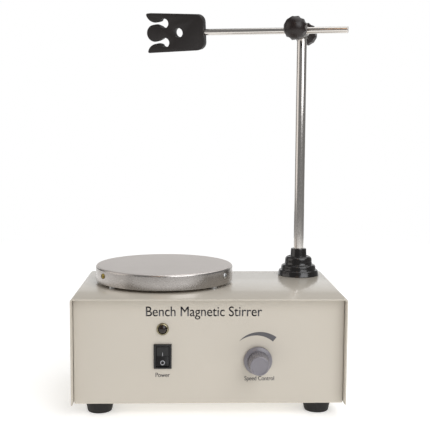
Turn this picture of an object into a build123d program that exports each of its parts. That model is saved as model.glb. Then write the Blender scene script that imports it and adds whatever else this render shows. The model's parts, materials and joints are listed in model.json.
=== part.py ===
# Magnetic stirrer with a stand: a painted sheet-metal housing with an aluminium
# stirring plate on top, a power switch, an indicator lamp and a speed knob on the
# recessed front panel, and a chromed support rod that carries a cross rod with a
# probe clip. Millimetres, +Z up. The origin is on the surface that the feet stand
# on, under the middle of the whole object's box.
import os
from math import cos, radians, sin, sqrt, tan
from build123d import *

os.makedirs("parts", exist_ok=True)

# ---------------------------------------------------------------- driving sizes
# Housing
housing_width = 230.0
housing_depth = 140.0
housing_height = 90.0
foot_height = 10.5
chassis_drop = 1.5       # underside of the chassis below the edges of the cover
sheet = 1.2
bend_radius = 2.4
cover_gap = 0.5          # between the cover and the chassis inside it
panel_recess = 8.0       # front and rear walls stand this far inside the cover
side_flange_height = 16.0
# Feet
foot_inset_x = 21.3
foot_inset_y = 25.0
foot_top_radius = 12.4
foot_bottom_radius = 10.6
# Stirring plate
plate_x = -40.0
plate_y = 15.5
plate_radius = 63.0
plate_height = 13.8
plate_gap = 2.4          # skirt above the housing top
plate_thickness = 2.0
skirt_thickness = 1.5
plate_edge_radius = 2.0
ring_gap = 0.2
ring_height = 10.5
ring_wall = 3.3
ring_flange = 2.0
ring_bore_radius = 47.0
spacer_angles = (-50, 50, 155)
plate_screw_angles = (-57.5, 60, 180)
plate_screw_level = 0.74  # share of the ring's height
# Controls on the front panel, from the housing's middle and its underside
switch_x = -39.0
switch_z = 39.9
switch_width = 15.0
switch_height = 21.0
lamp_z = 63.1
lamp_flange_radius = 5.2
lamp_bore_radius = 3.7
knob_x = 41.0
knob_z = 36.2
knob_skirt_radius = 12.0
knob_face_radius = 8.0
knob_length = 17.6
knob_stand_off = 0.9     # air between the knob and the panel
pot_shaft_radius = 3.0
# Drive
motor_radius = 27.0
motor_length = 46.0
motor_wall = 1.5
shaft_radius = 3.0
magnet_gap = 1.5         # air between the magnets and the plate
holder_radius = 26.0
holder_thickness = 6.0
magnet_radius = 7.0
magnet_pitch_radius = 16.5
bracket_extra = 11.0       # side of the bracket beyond the plate's radius
bracket_thickness = 2.0
bracket_hole_edge = 7.0    # centre of a corner hole to the bracket's edge
# Stand
rod_x = 89.3
rod_y = 50.2
rod_radius = 4.75
rod_top = 343.5
base_radius = 19.8
base_height = 26.0
base_socket_floor = 10.0
arm_height = 335.1       # cross rod axis at the clamp, above the table
arm_turn = 20.0          # the cross rod points this far towards the front
arm_tilt = 1.1           # and droops this much at its free end
cross_offset = 10.5      # between the two rod axes
cross_radius = 3.0
cross_right = 45.6       # free end, from the clamp
cross_end_gap = 0.5      # end of the cross rod to the bottom of the clip's bore
clamp_body_radius = 7.2
clamp_body_rear = 7.0
clamp_body_front = 18.0
clamp_screw_radius = 2.9
clamp_screw_gap = 0.3    # tip of a clamp screw to its rod
knob_neck = 1.6          # bare screw between the clamp body and a ball knob
ball_radius = 11.1
ball_lobes = 12
# Clip on the cross rod
clip_lean = 11.0         # its top leans this far to the front
clip_start = 94.2
clip_length = 59.0
clip_thickness = 9.0
clip_root_half = 17.1
clip_tip_half = 19.2
clip_tip_radius = 1.3
clip_corner_radius = 7.5
clip_hole_x = 26.1
clip_hole_radius = 4.65
clip_seat_x = 40.7
clip_seat_y = 9.25
clip_seat_radius = 4.75
clip_mouth_half = 3.0    # half the opening of a seat towards its slot
clip_head_x = 50.8
clip_head_radius = 8.3
clip_finger_x = 49.2
clip_finger_y = 20.4
clip_finger_radius = 10.2
clip_bore_end = 16.0
# Fits and fasteners
running_gap = 0.05
m3 = 1.5
m4 = 2.0

# ---------------------------------------------------------------- worked-out sizes
turn = radians(arm_turn)
tilt = radians(arm_tilt)
arm_front = Vector(-sin(turn), -cos(turn), 0)
arm_along = Vector(cos(turn) * cos(tilt), -sin(turn) * cos(tilt), -sin(tilt))
arm_level = arm_front.cross(arm_along)
lean = radians(clip_lean)
clip_front = arm_front * cos(lean) - arm_level * sin(lean)
clip_up = arm_level * cos(lean) + arm_front * sin(lean)
cross_left = clip_start + clip_bore_end - cross_end_gap

cover_screw_head = 1.6
reach_left = housing_width / 2 + cover_screw_head
reach_right = rod_x + cross_offset * arm_front.X + cross_right * arm_along.X + cross_radius * sin(turn)
reach_front = housing_depth / 2 - panel_recess + knob_stand_off + knob_length
clip_reach = clip_start + clip_length
clip_back = cross_offset - clip_thickness / 2 * cos(lean) - clip_tip_half * sin(lean)
reach_back = rod_y + clip_back * arm_front.Y - clip_reach * arm_along.Y
housing_x = (reach_left - reach_right) / 2
housing_y = (reach_front - reach_back) / 2

case_bottom = foot_height + chassis_drop
top_z = case_bottom + housing_height
roof_z = top_z - sheet
floor_z = foot_height + sheet
panel_y = -housing_depth / 2 + panel_recess
rear_y = housing_depth / 2 - panel_recess
inner_half = housing_width / 2 - sheet
chassis_half = inner_half - cover_gap
plate_bottom = top_z + plate_gap
plate_top = plate_bottom + plate_height
plate_inner = plate_radius - skirt_thickness
ring_radius = plate_inner - ring_gap
plate_screw_z = plate_bottom + ring_height * plate_screw_level
holder_top = plate_top - plate_thickness - magnet_gap


# ---------------------------------------------------------------- placing helpers
def upward(x, y, z):
    """A plane at a place on the housing, facing up."""
    return Plane(origin=(housing_x + x, housing_y + y, z), x_dir=(1, 0, 0), z_dir=(0, 0, 1))


def downward(x, y, z):
    """A plane at a place on the housing, facing down."""
    return Plane(origin=(housing_x + x, housing_y + y, z), x_dir=(1, 0, 0), z_dir=(0, 0, -1))


def forward(x, y, z):
    """A plane at a place on the housing, facing the front, with +Z up in it."""
    return Plane(origin=(housing_x + x, housing_y + y, z), x_dir=(1, 0, 0), z_dir=(0, -1, 0))


def backward(x, y, z):
    """A plane at a place on the housing, facing the back, with +Z up in it."""
    return Plane(origin=(housing_x + x, housing_y + y, z), x_dir=(-1, 0, 0), z_dir=(0, 1, 0))


def sideways(side, x, y, z):
    """A plane facing out of the right (side 1) or left (side -1) of the housing."""
    return Plane(origin=(housing_x + side * x, housing_y + y, z), x_dir=(0, side, 0), z_dir=(side, 0, 0))


def round_plate(angle, radius, z):
    """A plane on a circle round the plate's axis, facing outwards; 0 is the front."""
    out = (sin(radians(angle)), -cos(radians(angle)), 0)
    centre = (housing_x + plate_x + radius * out[0], housing_y + plate_y + radius * out[1], z)
    return Plane(origin=centre, x_dir=(-out[1], out[0], 0), z_dir=out)


def on_arm(along, front=0.0, height=0.0):
    """A plane at a place on the arm: x runs along the cross rod, z to the front."""
    clamp = Vector(housing_x + rod_x, housing_y + rod_y, arm_height)
    place = clamp + arm_front * (cross_offset + front) + arm_along * along + arm_level * height
    return Plane(origin=place, x_dir=arm_along, z_dir=arm_front)


def on_clip(along, front=0.0, height=0.0):
    """A plane at a place on the clip: x runs along the cross rod, z out of its front face."""
    place = on_arm(along).origin + clip_front * front + clip_up * height
    return Plane(origin=place, x_dir=arm_along, z_dir=clip_front)


def disc(plane, radius, height, mode=Mode.ADD):
    """A round bar that rises from a plane; a negative height goes the other way."""
    with BuildSketch(plane) as outline:
        Circle(radius)
    extrude(outline.sketch, amount=height, mode=mode)


def block(plane, width, depth, height, mode=Mode.ADD, corner=0.0):
    """A rectangular bar that rises from a plane, with its long edges rounded."""
    with BuildSketch(plane) as outline:
        if corner > 0:
            RectangleRounded(width, depth, corner)
        else:
            Rectangle(width, depth)
    extrude(outline.sketch, amount=height, mode=mode)


def hexagon(plane, across_flats, height):
    """A hexagonal bar that rises from a plane."""
    with BuildSketch(plane) as outline:
        RegularPolygon(across_flats / 2, 6, major_radius=False)
    extrude(outline.sketch, amount=height)


def lathe(plane, points, mode=Mode.ADD):
    """Turn a closed outline of (radius, height) points round a plane's normal."""
    section = Plane(origin=plane.origin, x_dir=plane.x_dir, z_dir=-plane.y_dir)
    with BuildSketch(section) as outline:
        with BuildLine():
            Polyline(*points, close=True)
        make_face()
    revolve(outline.sketch, axis=Axis(plane.origin, plane.z_dir), mode=mode)


def pan_screws(planes, radius, head_radius, head_height, length):
    """Pan-head screws with a cross recess, one for each plane under a head."""
    for plane in planes:
        shoulder = head_radius - 0.35 * head_height
        lathe(plane, [(0, -length), (radius, -length), (radius, 0), (head_radius, 0),
                      (head_radius, 0.45 * head_height), (shoulder, head_height), (0, head_height)])
        top = plane.offset(head_height)
        block(top, head_radius * 1.1, head_radius * 0.24, -0.5 * head_height, Mode.SUBTRACT)
        block(top, head_radius * 0.24, head_radius * 1.1, -0.5 * head_height, Mode.SUBTRACT)


def sunk_screws(planes, radius, head_radius, length):
    """Countersunk screws, one for each plane that a head is flush with."""
    for plane in planes:
        lathe(plane, [(0, -length), (radius, -length), (radius, radius - head_radius),
                      (head_radius, 0), (0, 0)])
        block(plane, head_radius * 1.1, head_radius * 0.24, -0.5, Mode.SUBTRACT)


def nuts(planes, across_flats, height, bore_radius):
    """Hexagon nuts, one for each plane that a nut rises from."""
    for plane in planes:
        hexagon(plane, across_flats, height)
        disc(plane, bore_radius, height, Mode.SUBTRACT)


pieces = {}

# ---------------------------------------------------------------- places shared by pieces
foot_places = {
    "front_left": (-1, -1),
    "front_right": (1, -1),
    "rear_left": (-1, 1),
    "rear_right": (1, 1),
}
foot_x = housing_width / 2 - foot_inset_x
foot_y = housing_depth / 2 - foot_inset_y
cover_screw_y = 35.0
cover_screw_z = floor_z + side_flange_height * 0.55
bracket_size = plate_radius + bracket_extra
bracket_hole_pitch = bracket_size - 2 * bracket_hole_edge
bracket_corners = [(plate_x + sx * bracket_hole_pitch / 2, plate_y + sy * bracket_hole_pitch / 2)
                   for sx in (-1, 1) for sy in (-1, 1)]
motor_screw_radius = 19.0
spacer_pitch_radius = ring_radius - 3.5
board_x = 52.0
board_y = 8.0
board_width = 76.0
board_depth = 56.0
board_z = floor_z + 8.0
board_corners = [(board_x + sx * (board_width / 2 - 5), board_y + sy * (board_depth / 2 - 5))
                 for sx in (-1, 1) for sy in (-1, 1)]
gland_x = -72.0
fuse_x = 72.0
rear_parts_z = case_bottom + 26.0
switch_body_width = switch_width - 2.0
switch_body_height = switch_height - 2.0
lamp_body_radius = 4.0
bush_radius = 3.5
gland_radius = 6.2
fuse_radius = 5.8

# ---------------------------------------------------------------- cover
with BuildPart() as cover:
    block(upward(0, 0, case_bottom), housing_width, housing_depth, housing_height)
    fillet(cover.edges().filter_by(Axis.Y).group_by(Axis.Z)[-1], bend_radius)
    with BuildPart(mode=Mode.PRIVATE) as cover_inside:
        block(upward(0, 0, case_bottom), 2 * inner_half, housing_depth, roof_z - case_bottom)
        fillet(cover_inside.edges().filter_by(Axis.Y).group_by(Axis.Z)[-1], bend_radius - sheet)
    add(cover_inside.part, mode=Mode.SUBTRACT)
    disc(upward(plate_x, plate_y, top_z), shaft_radius + 4.0, -2 * sheet, Mode.SUBTRACT)
    for x, y in bracket_corners:
        disc(upward(x, y, top_z), m4 + 0.2, -2 * sheet, Mode.SUBTRACT)
    for angle in spacer_angles:
        spot = round_plate(angle, spacer_pitch_radius, top_z).origin
        disc(Plane(origin=spot), m3 + 0.2, -2 * sheet, Mode.SUBTRACT)
    disc(upward(rod_x, rod_y, top_z), 3.2, -2 * sheet, Mode.SUBTRACT)
    for side in (-1, 1):
        for y in (-cover_screw_y, cover_screw_y):
            disc(sideways(side, housing_width / 2, y, cover_screw_z), m3 + 0.2, -2 * sheet, Mode.SUBTRACT)
pieces["cover"] = cover

# ---------------------------------------------------------------- chassis with both panels
panel_top = roof_z - cover_gap
with BuildPart() as chassis:
    block(upward(0, 0, foot_height), 2 * chassis_half, rear_y - panel_y, panel_top - foot_height)
    fillet(chassis.edges().filter_by(Axis.X).group_by(Axis.Z)[0], bend_radius)
    with BuildPart(mode=Mode.PRIVATE) as chassis_inside:
        inside_depth = rear_y - panel_y - 2 * sheet
        block(upward(0, 0, floor_z), 2 * chassis_half, inside_depth, panel_top - floor_z)
        fillet(chassis_inside.edges().filter_by(Axis.X).group_by(Axis.Z)[0], bend_radius - sheet)
    add(chassis_inside.part, mode=Mode.SUBTRACT)
    for side in (-1, 1):
        flange_x = side * (chassis_half - sheet / 2)
        block(upward(flange_x, 0, floor_z), sheet, 100.0, side_flange_height)
        for y in (-cover_screw_y, cover_screw_y):
            disc(sideways(side, chassis_half, y, cover_screw_z), m3, -2 * sheet, Mode.SUBTRACT)
    disc(forward(switch_x, panel_y, case_bottom + lamp_z), lamp_body_radius + 0.1, -2 * sheet, Mode.SUBTRACT)
    block(forward(switch_x, panel_y, case_bottom + switch_z), switch_body_width + 0.2,
          switch_body_height + 0.2, -2 * sheet, Mode.SUBTRACT)
    disc(forward(knob_x, panel_y, case_bottom + knob_z), bush_radius + 0.1, -2 * sheet, Mode.SUBTRACT)
    disc(backward(gland_x, rear_y, rear_parts_z), gland_radius + 0.1, -2 * sheet, Mode.SUBTRACT)
    disc(backward(fuse_x, rear_y, rear_parts_z), fuse_radius + 0.1, -2 * sheet, Mode.SUBTRACT)
    for sx, sy in foot_places.values():
        disc(upward(sx * foot_x, sy * foot_y, floor_z), m4 + 0.1, -2 * sheet, Mode.SUBTRACT)
    for x, y in board_corners:
        disc(upward(x, y, floor_z), m3 + 0.1, -2 * sheet, Mode.SUBTRACT)
pieces["chassis"] = chassis

# ---------------------------------------------------------------- feet
foot_recess_radius = 5.0
foot_recess_depth = 6.5
foot_screw_length = foot_height - foot_recess_depth + sheet + 5.0
for place, (sx, sy) in foot_places.items():
    with BuildPart() as foot:
        lathe(upward(sx * foot_x, sy * foot_y, 0), [
            (foot_recess_radius, 0), (foot_bottom_radius - 0.8, 0), (foot_bottom_radius, 0.8),
            (foot_top_radius, foot_height - 0.6), (foot_top_radius - 0.6, foot_height),
            (m4 + 0.1, foot_height), (m4 + 0.1, foot_recess_depth),
            (foot_recess_radius, foot_recess_depth)])
    pieces["foot_" + place] = foot

with BuildPart() as foot_screws:
    pan_screws([downward(sx * foot_x, sy * foot_y, foot_recess_depth) for sx, sy in foot_places.values()],
               m4, 3.9, 2.6, foot_screw_length)
pieces["foot_screws"] = foot_screws

with BuildPart() as foot_nuts:
    nuts([upward(sx * foot_x, sy * foot_y, floor_z) for sx, sy in foot_places.values()], 7.0, 3.2, m4)
pieces["foot_nuts"] = foot_nuts

with BuildPart() as cover_screws:
    pan_screws([sideways(side, housing_width / 2, y, cover_screw_z)
                for side in (-1, 1) for y in (-cover_screw_y, cover_screw_y)],
               m3, 3.0, cover_screw_head, 7.0)
pieces["cover_screws"] = cover_screws

# ---------------------------------------------------------------- stirring plate
with BuildPart() as plate_cap:
    disc(upward(plate_x, plate_y, plate_bottom), plate_radius, plate_height)
    fillet(plate_cap.edges().group_by(Axis.Z)[-1], plate_edge_radius)
    disc(upward(plate_x, plate_y, plate_bottom), plate_inner, plate_height - plate_thickness, Mode.SUBTRACT)
    for angle in plate_screw_angles:
        disc(round_plate(angle, plate_radius, plate_screw_z), m3 + 0.15, -2 * skirt_thickness, Mode.SUBTRACT)
pieces["plate_cap"] = plate_cap

with BuildPart() as plate_ring:
    lathe(upward(plate_x, plate_y, plate_bottom), [
        (ring_bore_radius, 0), (ring_radius, 0), (ring_radius, ring_height),
        (ring_radius - ring_wall, ring_height), (ring_radius - ring_wall, ring_flange),
        (ring_bore_radius, ring_flange)])
    for angle in plate_screw_angles:
        disc(round_plate(angle, ring_radius, plate_screw_z), m3, -2 * ring_wall, Mode.SUBTRACT)
    for angle in spacer_angles:
        spot = round_plate(angle, spacer_pitch_radius, plate_bottom).origin
        disc(Plane(origin=spot), m3, ring_height - 2.0, Mode.SUBTRACT)
pieces["plate_ring"] = plate_ring

with BuildPart() as plate_screws:
    pan_screws([round_plate(angle, plate_radius, plate_screw_z) for angle in plate_screw_angles],
               m3, 2.9, 1.6, skirt_thickness + ring_gap + ring_wall)
pieces["plate_screws"] = plate_screws

with BuildPart() as ring_spacers:
    for angle in spacer_angles:
        spot = round_plate(angle, spacer_pitch_radius, top_z).origin
        disc(Plane(origin=spot), 3.2, plate_gap)
        disc(Plane(origin=spot), m3 + 0.2, plate_gap, Mode.SUBTRACT)
pieces["ring_spacers"] = ring_spacers

with BuildPart() as ring_screws:
    ring_screw_places = []
    for angle in spacer_angles:
        spot = round_plate(angle, spacer_pitch_radius, roof_z).origin
        ring_screw_places.append(Plane(origin=spot, x_dir=(1, 0, 0), z_dir=(0, 0, -1)))
    pan_screws(ring_screw_places, m3, 2.9, 2.0, sheet + plate_gap + ring_height - 3.0)
pieces["ring_screws"] = ring_screws

# ---------------------------------------------------------------- indicator lamp
lamp_plane = forward(switch_x, panel_y, case_bottom + lamp_z)
lamp_body_length = 16.0
with BuildPart() as indicator_bezel:
    lathe(lamp_plane, [
        (lamp_bore_radius, -lamp_body_length), (lamp_body_radius, -lamp_body_length),
        (lamp_body_radius, 0), (lamp_flange_radius, 0), (lamp_flange_radius, 0.9),
        (lamp_flange_radius - 0.9, 1.8), (lamp_bore_radius, 1.8)])
pieces["indicator_bezel"] = indicator_bezel

lens_radius = lamp_bore_radius - 0.1
lens_top = 2.9
lens_rise = 1.5
lens_curve = (lens_radius ** 2 + lens_rise ** 2) / (2 * lens_rise)
lens_middle = (lens_radius / 2, lens_top - lens_curve + sqrt(lens_curve ** 2 - (lens_radius / 2) ** 2))
with BuildPart() as indicator_lens:
    with BuildSketch(Plane(origin=lamp_plane.origin, x_dir=lamp_plane.x_dir, z_dir=-lamp_plane.y_dir)):
        with BuildLine():
            Polyline((0, lens_top), (0, -6.0), (lens_radius, -6.0), (lens_radius, lens_top - lens_rise))
            ThreePointArc((lens_radius, lens_top - lens_rise), lens_middle, (0, lens_top))
        make_face()
    revolve(axis=Axis(lamp_plane.origin, lamp_plane.z_dir))
pieces["indicator_lens"] = indicator_lens

with BuildPart() as indicator_nut:
    nuts([lamp_plane.offset(-sheet - 2.2)], 12.0, 2.2, lamp_body_radius)
pieces["indicator_nut"] = indicator_nut

# ---------------------------------------------------------------- power switch
switch_plane = forward(switch_x, panel_y, case_bottom + switch_z)
switch_flange = 1.7
switch_depth = 13.0
rocker_width = 10.4
rocker_half = 8.1
rocker_swing = 9.0
rocker_pivot_depth = 1.6      # pivot behind the panel's front face
rocker_pin_radius = 1.2
cavity_width = rocker_width + 0.8
cavity_height = 17.8
cavity_depth = 8.0
with BuildPart() as switch_frame:
    block(switch_plane, switch_width, switch_height, switch_flange, corner=1.2)
    fillet(switch_frame.faces().sort_by(Axis.Y)[0].edges(), 0.6)
    block(switch_plane, switch_body_width, switch_body_height, -switch_depth)
    block(switch_plane.offset(switch_flange), cavity_width, cavity_height,
          -switch_flange - cavity_depth, Mode.SUBTRACT)
    pin_plane = Plane(origin=switch_plane.offset(-rocker_pivot_depth).origin, x_dir=(0, 1, 0), z_dir=(1, 0, 0))
    with BuildSketch(pin_plane) as pin_hole:
        Circle(rocker_pin_radius + running_gap)
    extrude(pin_hole.sketch, amount=cavity_width / 2 + 0.5, both=True, mode=Mode.SUBTRACT)
pieces["switch_frame"] = switch_frame

with BuildPart() as switch_rocker:
    # at rest the top half is pressed in, which is the "on" position
    tipped = Plane(origin=pin_plane.origin, x_dir=(0, -cos(radians(rocker_swing)), sin(radians(rocker_swing))),
                   z_dir=(1, 0, 0))
    rocker_face = rocker_pivot_depth + switch_flange + 0.2
    rocker_rise = rocker_half * tan(radians(rocker_swing))
    with BuildSketch(tipped):
        with BuildLine():
            Polyline((rocker_face, 0), (rocker_face + rocker_rise, rocker_half), (-2.0, rocker_half),
                     (-4.6, 0), (-2.0, -rocker_half), (rocker_face + rocker_rise, -rocker_half), close=True)
        make_face()
    extrude(amount=rocker_width / 2, both=True)
    with BuildSketch(pin_plane) as rocker_pin:
        Circle(rocker_pin_radius)
    extrude(rocker_pin.sketch, amount=cavity_width / 2 + 0.4, both=True)
pieces["switch_rocker"] = switch_rocker

with BuildPart() as switch_terminals:
    for height in (-6.0, 0.0, 6.0):
        tab = forward(switch_x, panel_y + switch_depth, case_bottom + switch_z + height)
        block(tab, 4.8, 0.8, -8.0)
pieces["switch_terminals"] = switch_terminals

# ---------------------------------------------------------------- speed control
knob_plane = forward(knob_x, panel_y, case_bottom + knob_z)
knob_back = knob_plane.offset(knob_stand_off)
skirt_depth = 2.6
grip_radius = 9.3
knob_recess_radius = 8.0
knob_recess_depth = 5.2
flute_radius = 0.75
flute_count = 24
nut_height = 2.2
with BuildPart() as speed_knob:
    lathe(knob_back, [
        (0, 0), (knob_skirt_radius, 0), (knob_skirt_radius, skirt_depth - 0.8),
        (knob_skirt_radius - 0.8, skirt_depth), (grip_radius + 0.5, skirt_depth + 0.9),
        (grip_radius, skirt_depth + 1.6), (knob_face_radius + 0.3, knob_length - 1.2),
        (knob_face_radius - 0.7, knob_length), (knob_face_radius - 1.4, knob_length),
        (knob_face_radius - 1.7, knob_length - 0.5), (0, knob_length - 0.5)])
    disc(knob_back, knob_recess_radius, knob_recess_depth, Mode.SUBTRACT)
    disc(knob_back, pot_shaft_radius, knob_length - 3.6, Mode.SUBTRACT)
    flute_slope = Plane(origin=knob_back.offset(skirt_depth + 1.7).origin, x_dir=(1, 0, 0), z_dir=(0, -1, 0))
    with BuildSketch(flute_slope) as flutes:
        with PolarLocations(grip_radius + 0.15, flute_count):
            Circle(flute_radius)
    extrude(flutes.sketch, amount=knob_length, mode=Mode.SUBTRACT)
pieces["speed_knob"] = speed_knob

bush_length = 5.0
with BuildPart() as pot_shaft:
    disc(knob_plane.offset(-sheet - 6.0), pot_shaft_radius,
         sheet + 6.0 + knob_stand_off + knob_length - 3.6)
pieces["pot_shaft"] = pot_shaft

with BuildPart() as potentiometer:
    disc(knob_plane.offset(-sheet), 8.2, -9.0)
    disc(knob_plane.offset(-sheet), bush_radius, bush_length)
    disc(knob_plane.offset(bush_length), pot_shaft_radius + running_gap, -sheet - 6.2 - bush_length, Mode.SUBTRACT)
    for offset in (-5.0, 0.0, 5.0):
        tag = forward(knob_x + offset, panel_y + sheet + 7.2, case_bottom + knob_z - 10.0)
        block(tag, 1.4, 10.0, -0.8)
pieces["potentiometer"] = potentiometer

with BuildPart() as pot_nut:
    nuts([knob_plane], 10.0, nut_height, bush_radius)
pieces["pot_nut"] = pot_nut

# ---------------------------------------------------------------- motor and magnets
bracket_top = roof_z
motor_top = bracket_top - bracket_thickness
motor_bottom = motor_top - motor_length
bush_outer = 5.5
bush_height = 5.0
with BuildPart() as motor_bracket:
    block(upward(plate_x, plate_y, motor_top), bracket_size, bracket_size, bracket_thickness, corner=6.0)
    disc(upward(plate_x, plate_y, bracket_top), shaft_radius + 4.0, -2 * bracket_thickness, Mode.SUBTRACT)
    for x, y in bracket_corners:
        disc(upward(x, y, bracket_top), m4 + 0.2, -2 * bracket_thickness, Mode.SUBTRACT)
    for angle in (45, 135, 225, 315):
        spot = round_plate(angle, motor_screw_radius, bracket_top).origin
        lathe(Plane(origin=spot), [(0, 0), (3.0, 0), (m3 + 0.1, -1.4), (m3 + 0.1, -3.0), (0, -3.0)], Mode.SUBTRACT)
pieces["motor_bracket"] = motor_bracket

with BuildPart() as bracket_screws:
    pan_screws([upward(x, y, top_z) for x, y in bracket_corners], m4, 3.8, 2.4, sheet + bracket_thickness + 5.0)
pieces["bracket_screws"] = bracket_screws

with BuildPart() as bracket_nuts:
    nuts([upward(x, y, motor_top - 3.2) for x, y in bracket_corners], 7.0, 3.2, m4)
pieces["bracket_nuts"] = bracket_nuts

with BuildPart() as motor_can:
    disc(upward(plate_x, plate_y, motor_bottom), motor_radius, motor_length)
    fillet(motor_can.edges().group_by(Axis.Z)[-1], 1.5)
    disc(upward(plate_x, plate_y, motor_bottom), motor_radius - motor_wall, motor_length - 3.0, Mode.SUBTRACT)
    disc(upward(plate_x, plate_y, motor_top - 3.0), 8.0, -4.0)
    disc(upward(plate_x, plate_y, motor_top), shaft_radius + 0.6, -8.0, Mode.SUBTRACT)
    disc(upward(plate_x, plate_y, motor_top - 7.0), bush_outer, bush_height, Mode.SUBTRACT)
    for angle in (45, 135, 225, 315):
        spot = round_plate(angle, motor_screw_radius, motor_top).origin
        disc(Plane(origin=spot), m3, -3.5, Mode.SUBTRACT)
pieces["motor_can"] = motor_can

with BuildPart() as motor_end_cap:
    lathe(upward(plate_x, plate_y, motor_bottom), [
        (0, -3.0), (8.0, -3.0), (8.0, -1.5), (motor_radius, -1.5), (motor_radius, 0),
        (motor_radius - motor_wall, 0), (motor_radius - motor_wall, 3.0), (motor_radius - 4.0, 3.0),
        (motor_radius - 4.0, 1.0), (9.0, 1.0), (9.0, 5.0), (bush_outer, 5.0), (bush_outer, 0), (0, 0)])
pieces["motor_end_cap"] = motor_end_cap

with BuildPart() as motor_bushes:
    for bottom in (motor_bottom, motor_top - 7.0):
        disc(upward(plate_x, plate_y, bottom), bush_outer, bush_height)
        disc(upward(plate_x, plate_y, bottom), shaft_radius + running_gap, bush_height, Mode.SUBTRACT)
pieces["motor_bushes"] = motor_bushes

stator_bottom = motor_bottom + 9.0
stator_length = 24.0
rotor_radius = 13.0
with BuildPart() as stator:
    disc(upward(plate_x, plate_y, stator_bottom), motor_radius - motor_wall, stator_length)
    disc(upward(plate_x, plate_y, stator_bottom), rotor_radius + 0.5, stator_length, Mode.SUBTRACT)
pieces["stator"] = stator

with BuildPart() as rotor_core:
    disc(upward(plate_x, plate_y, stator_bottom), rotor_radius, stator_length)
    disc(upward(plate_x, plate_y, stator_bottom), shaft_radius, stator_length, Mode.SUBTRACT)
pieces["rotor_core"] = rotor_core

with BuildPart() as motor_shaft:
    disc(upward(plate_x, plate_y, motor_bottom + 0.3), shaft_radius, holder_top - 0.6 - motor_bottom - 0.3)
    chamfer(motor_shaft.edges().filter_by(GeomType.CIRCLE), 0.4)
pieces["motor_shaft"] = motor_shaft

with BuildPart() as motor_screws:
    motor_screw_places = []
    for angle in (45, 135, 225, 315):
        spot = round_plate(angle, motor_screw_radius, bracket_top).origin
        motor_screw_places.append(Plane(origin=spot))
    sunk_screws(motor_screw_places, m3, 2.9, 5.0)
pieces["motor_screws"] = motor_screws

hub_radius = 7.5
holder_bottom = holder_top - holder_thickness
hub_bottom = top_z + 1.2
magnet_depth = 5.0
set_screw_z = (hub_bottom + holder_bottom) / 2
with BuildPart() as magnet_holder:
    disc(upward(plate_x, plate_y, holder_bottom), holder_radius, holder_thickness)
    disc(upward(plate_x, plate_y, hub_bottom), hub_radius, holder_bottom - hub_bottom)
    disc(upward(plate_x, plate_y, hub_bottom), shaft_radius, holder_top - hub_bottom, Mode.SUBTRACT)
    for side in (-1, 1):
        disc(upward(plate_x + side * magnet_pitch_radius, plate_y, holder_top), magnet_radius,
             -magnet_depth, Mode.SUBTRACT)
    disc(round_plate(0, hub_radius, set_screw_z), m3, -hub_radius, Mode.SUBTRACT)
pieces["magnet_holder"] = magnet_holder

with BuildPart() as magnets:
    for side in (-1, 1):
        disc(upward(plate_x + side * magnet_pitch_radius, plate_y, holder_top - magnet_depth),
             magnet_radius, magnet_depth)
pieces["magnets"] = magnets

with BuildPart() as hub_set_screw:
    disc(round_plate(0, shaft_radius, set_screw_z), m3, hub_radius - shaft_radius)
pieces["hub_set_screw"] = hub_set_screw

# ---------------------------------------------------------------- speed control board
with BuildPart() as circuit_board:
    block(upward(board_x, board_y, board_z), board_width, board_depth, 1.6, corner=2.0)
    for x, y in board_corners:
        disc(upward(x, y, board_z), m3 + 0.1, 1.6, Mode.SUBTRACT)
pieces["circuit_board"] = circuit_board

with BuildPart() as board_spacers:
    for x, y in board_corners:
        disc(upward(x, y, floor_z), 3.0, board_z - floor_z)
        disc(upward(x, y, floor_z), m3 + 0.1, board_z - floor_z, Mode.SUBTRACT)
pieces["board_spacers"] = board_spacers

with BuildPart() as board_screws:
    pan_screws([downward(x, y, foot_height) for x, y in board_corners], m3, 2.8, 1.8,
               board_z + 1.6 + 3.4 - foot_height)
pieces["board_screws"] = board_screws

with BuildPart() as board_nuts:
    nuts([upward(x, y, board_z + 1.6) for x, y in board_corners], 5.5, 2.4, m3)
pieces["board_nuts"] = board_nuts

board_top = board_z + 1.6
with BuildPart() as heat_sink:
    block(upward(board_x - 18, board_y, board_top), 3.0, 30.0, 24.0)
    for offset in (-12.0, -6.0, 0.0, 6.0, 12.0):
        block(upward(board_x - 22.5, board_y + offset, board_top), 6.0, 1.6, 24.0)
pieces["heat_sink"] = heat_sink

with BuildPart() as triac:
    block(upward(board_x - 18 + 1.5 + 2.2, board_y, board_top + 4.0), 4.4, 10.0, 15.0)
    for offset in (-2.5, 0.0, 2.5):
        block(upward(board_x - 18 + 1.5 + 2.2, board_y + offset, board_top), 0.6, 1.0, 4.0)
pieces["triac"] = triac

with BuildPart() as capacitor:
    block(upward(board_x + 8, board_y - 12, board_top), 26.0, 10.0, 17.0, corner=1.0)
pieces["capacitor"] = capacitor

with BuildPart() as terminal_block:
    block(upward(board_x + 10, board_y + 14, board_top), 32.0, 10.0, 12.0)
    for offset in (-12.0, -4.0, 4.0, 12.0):
        disc(upward(board_x + 10 + offset, board_y + 14, board_top + 12.0), 2.0, -7.0, Mode.SUBTRACT)
        block(forward(board_x + 10 + offset, board_y + 19, board_top + 3.0), 4.0, 4.0, 6.0, Mode.SUBTRACT)
pieces["terminal_block"] = terminal_block

# ---------------------------------------------------------------- rear panel parts
gland_plane = backward(gland_x, rear_y, rear_parts_z)
gland_bore_radius = 3.8
gland_front = 7.0
gland_back = 14.0
with BuildPart() as cord_gland:
    lathe(gland_plane, [
        (gland_bore_radius, -gland_back), (gland_radius, -gland_back), (gland_radius, 0),
        (8.6, 0), (8.6, 2.0), (7.4, 3.0), (6.0, gland_front), (gland_bore_radius, gland_front)])
pieces["cord_gland"] = cord_gland

with BuildPart() as gland_nut:
    nuts([gland_plane.offset(-sheet - 4.0)], 17.0, 4.0, gland_radius)
pieces["gland_nut"] = gland_nut

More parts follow.
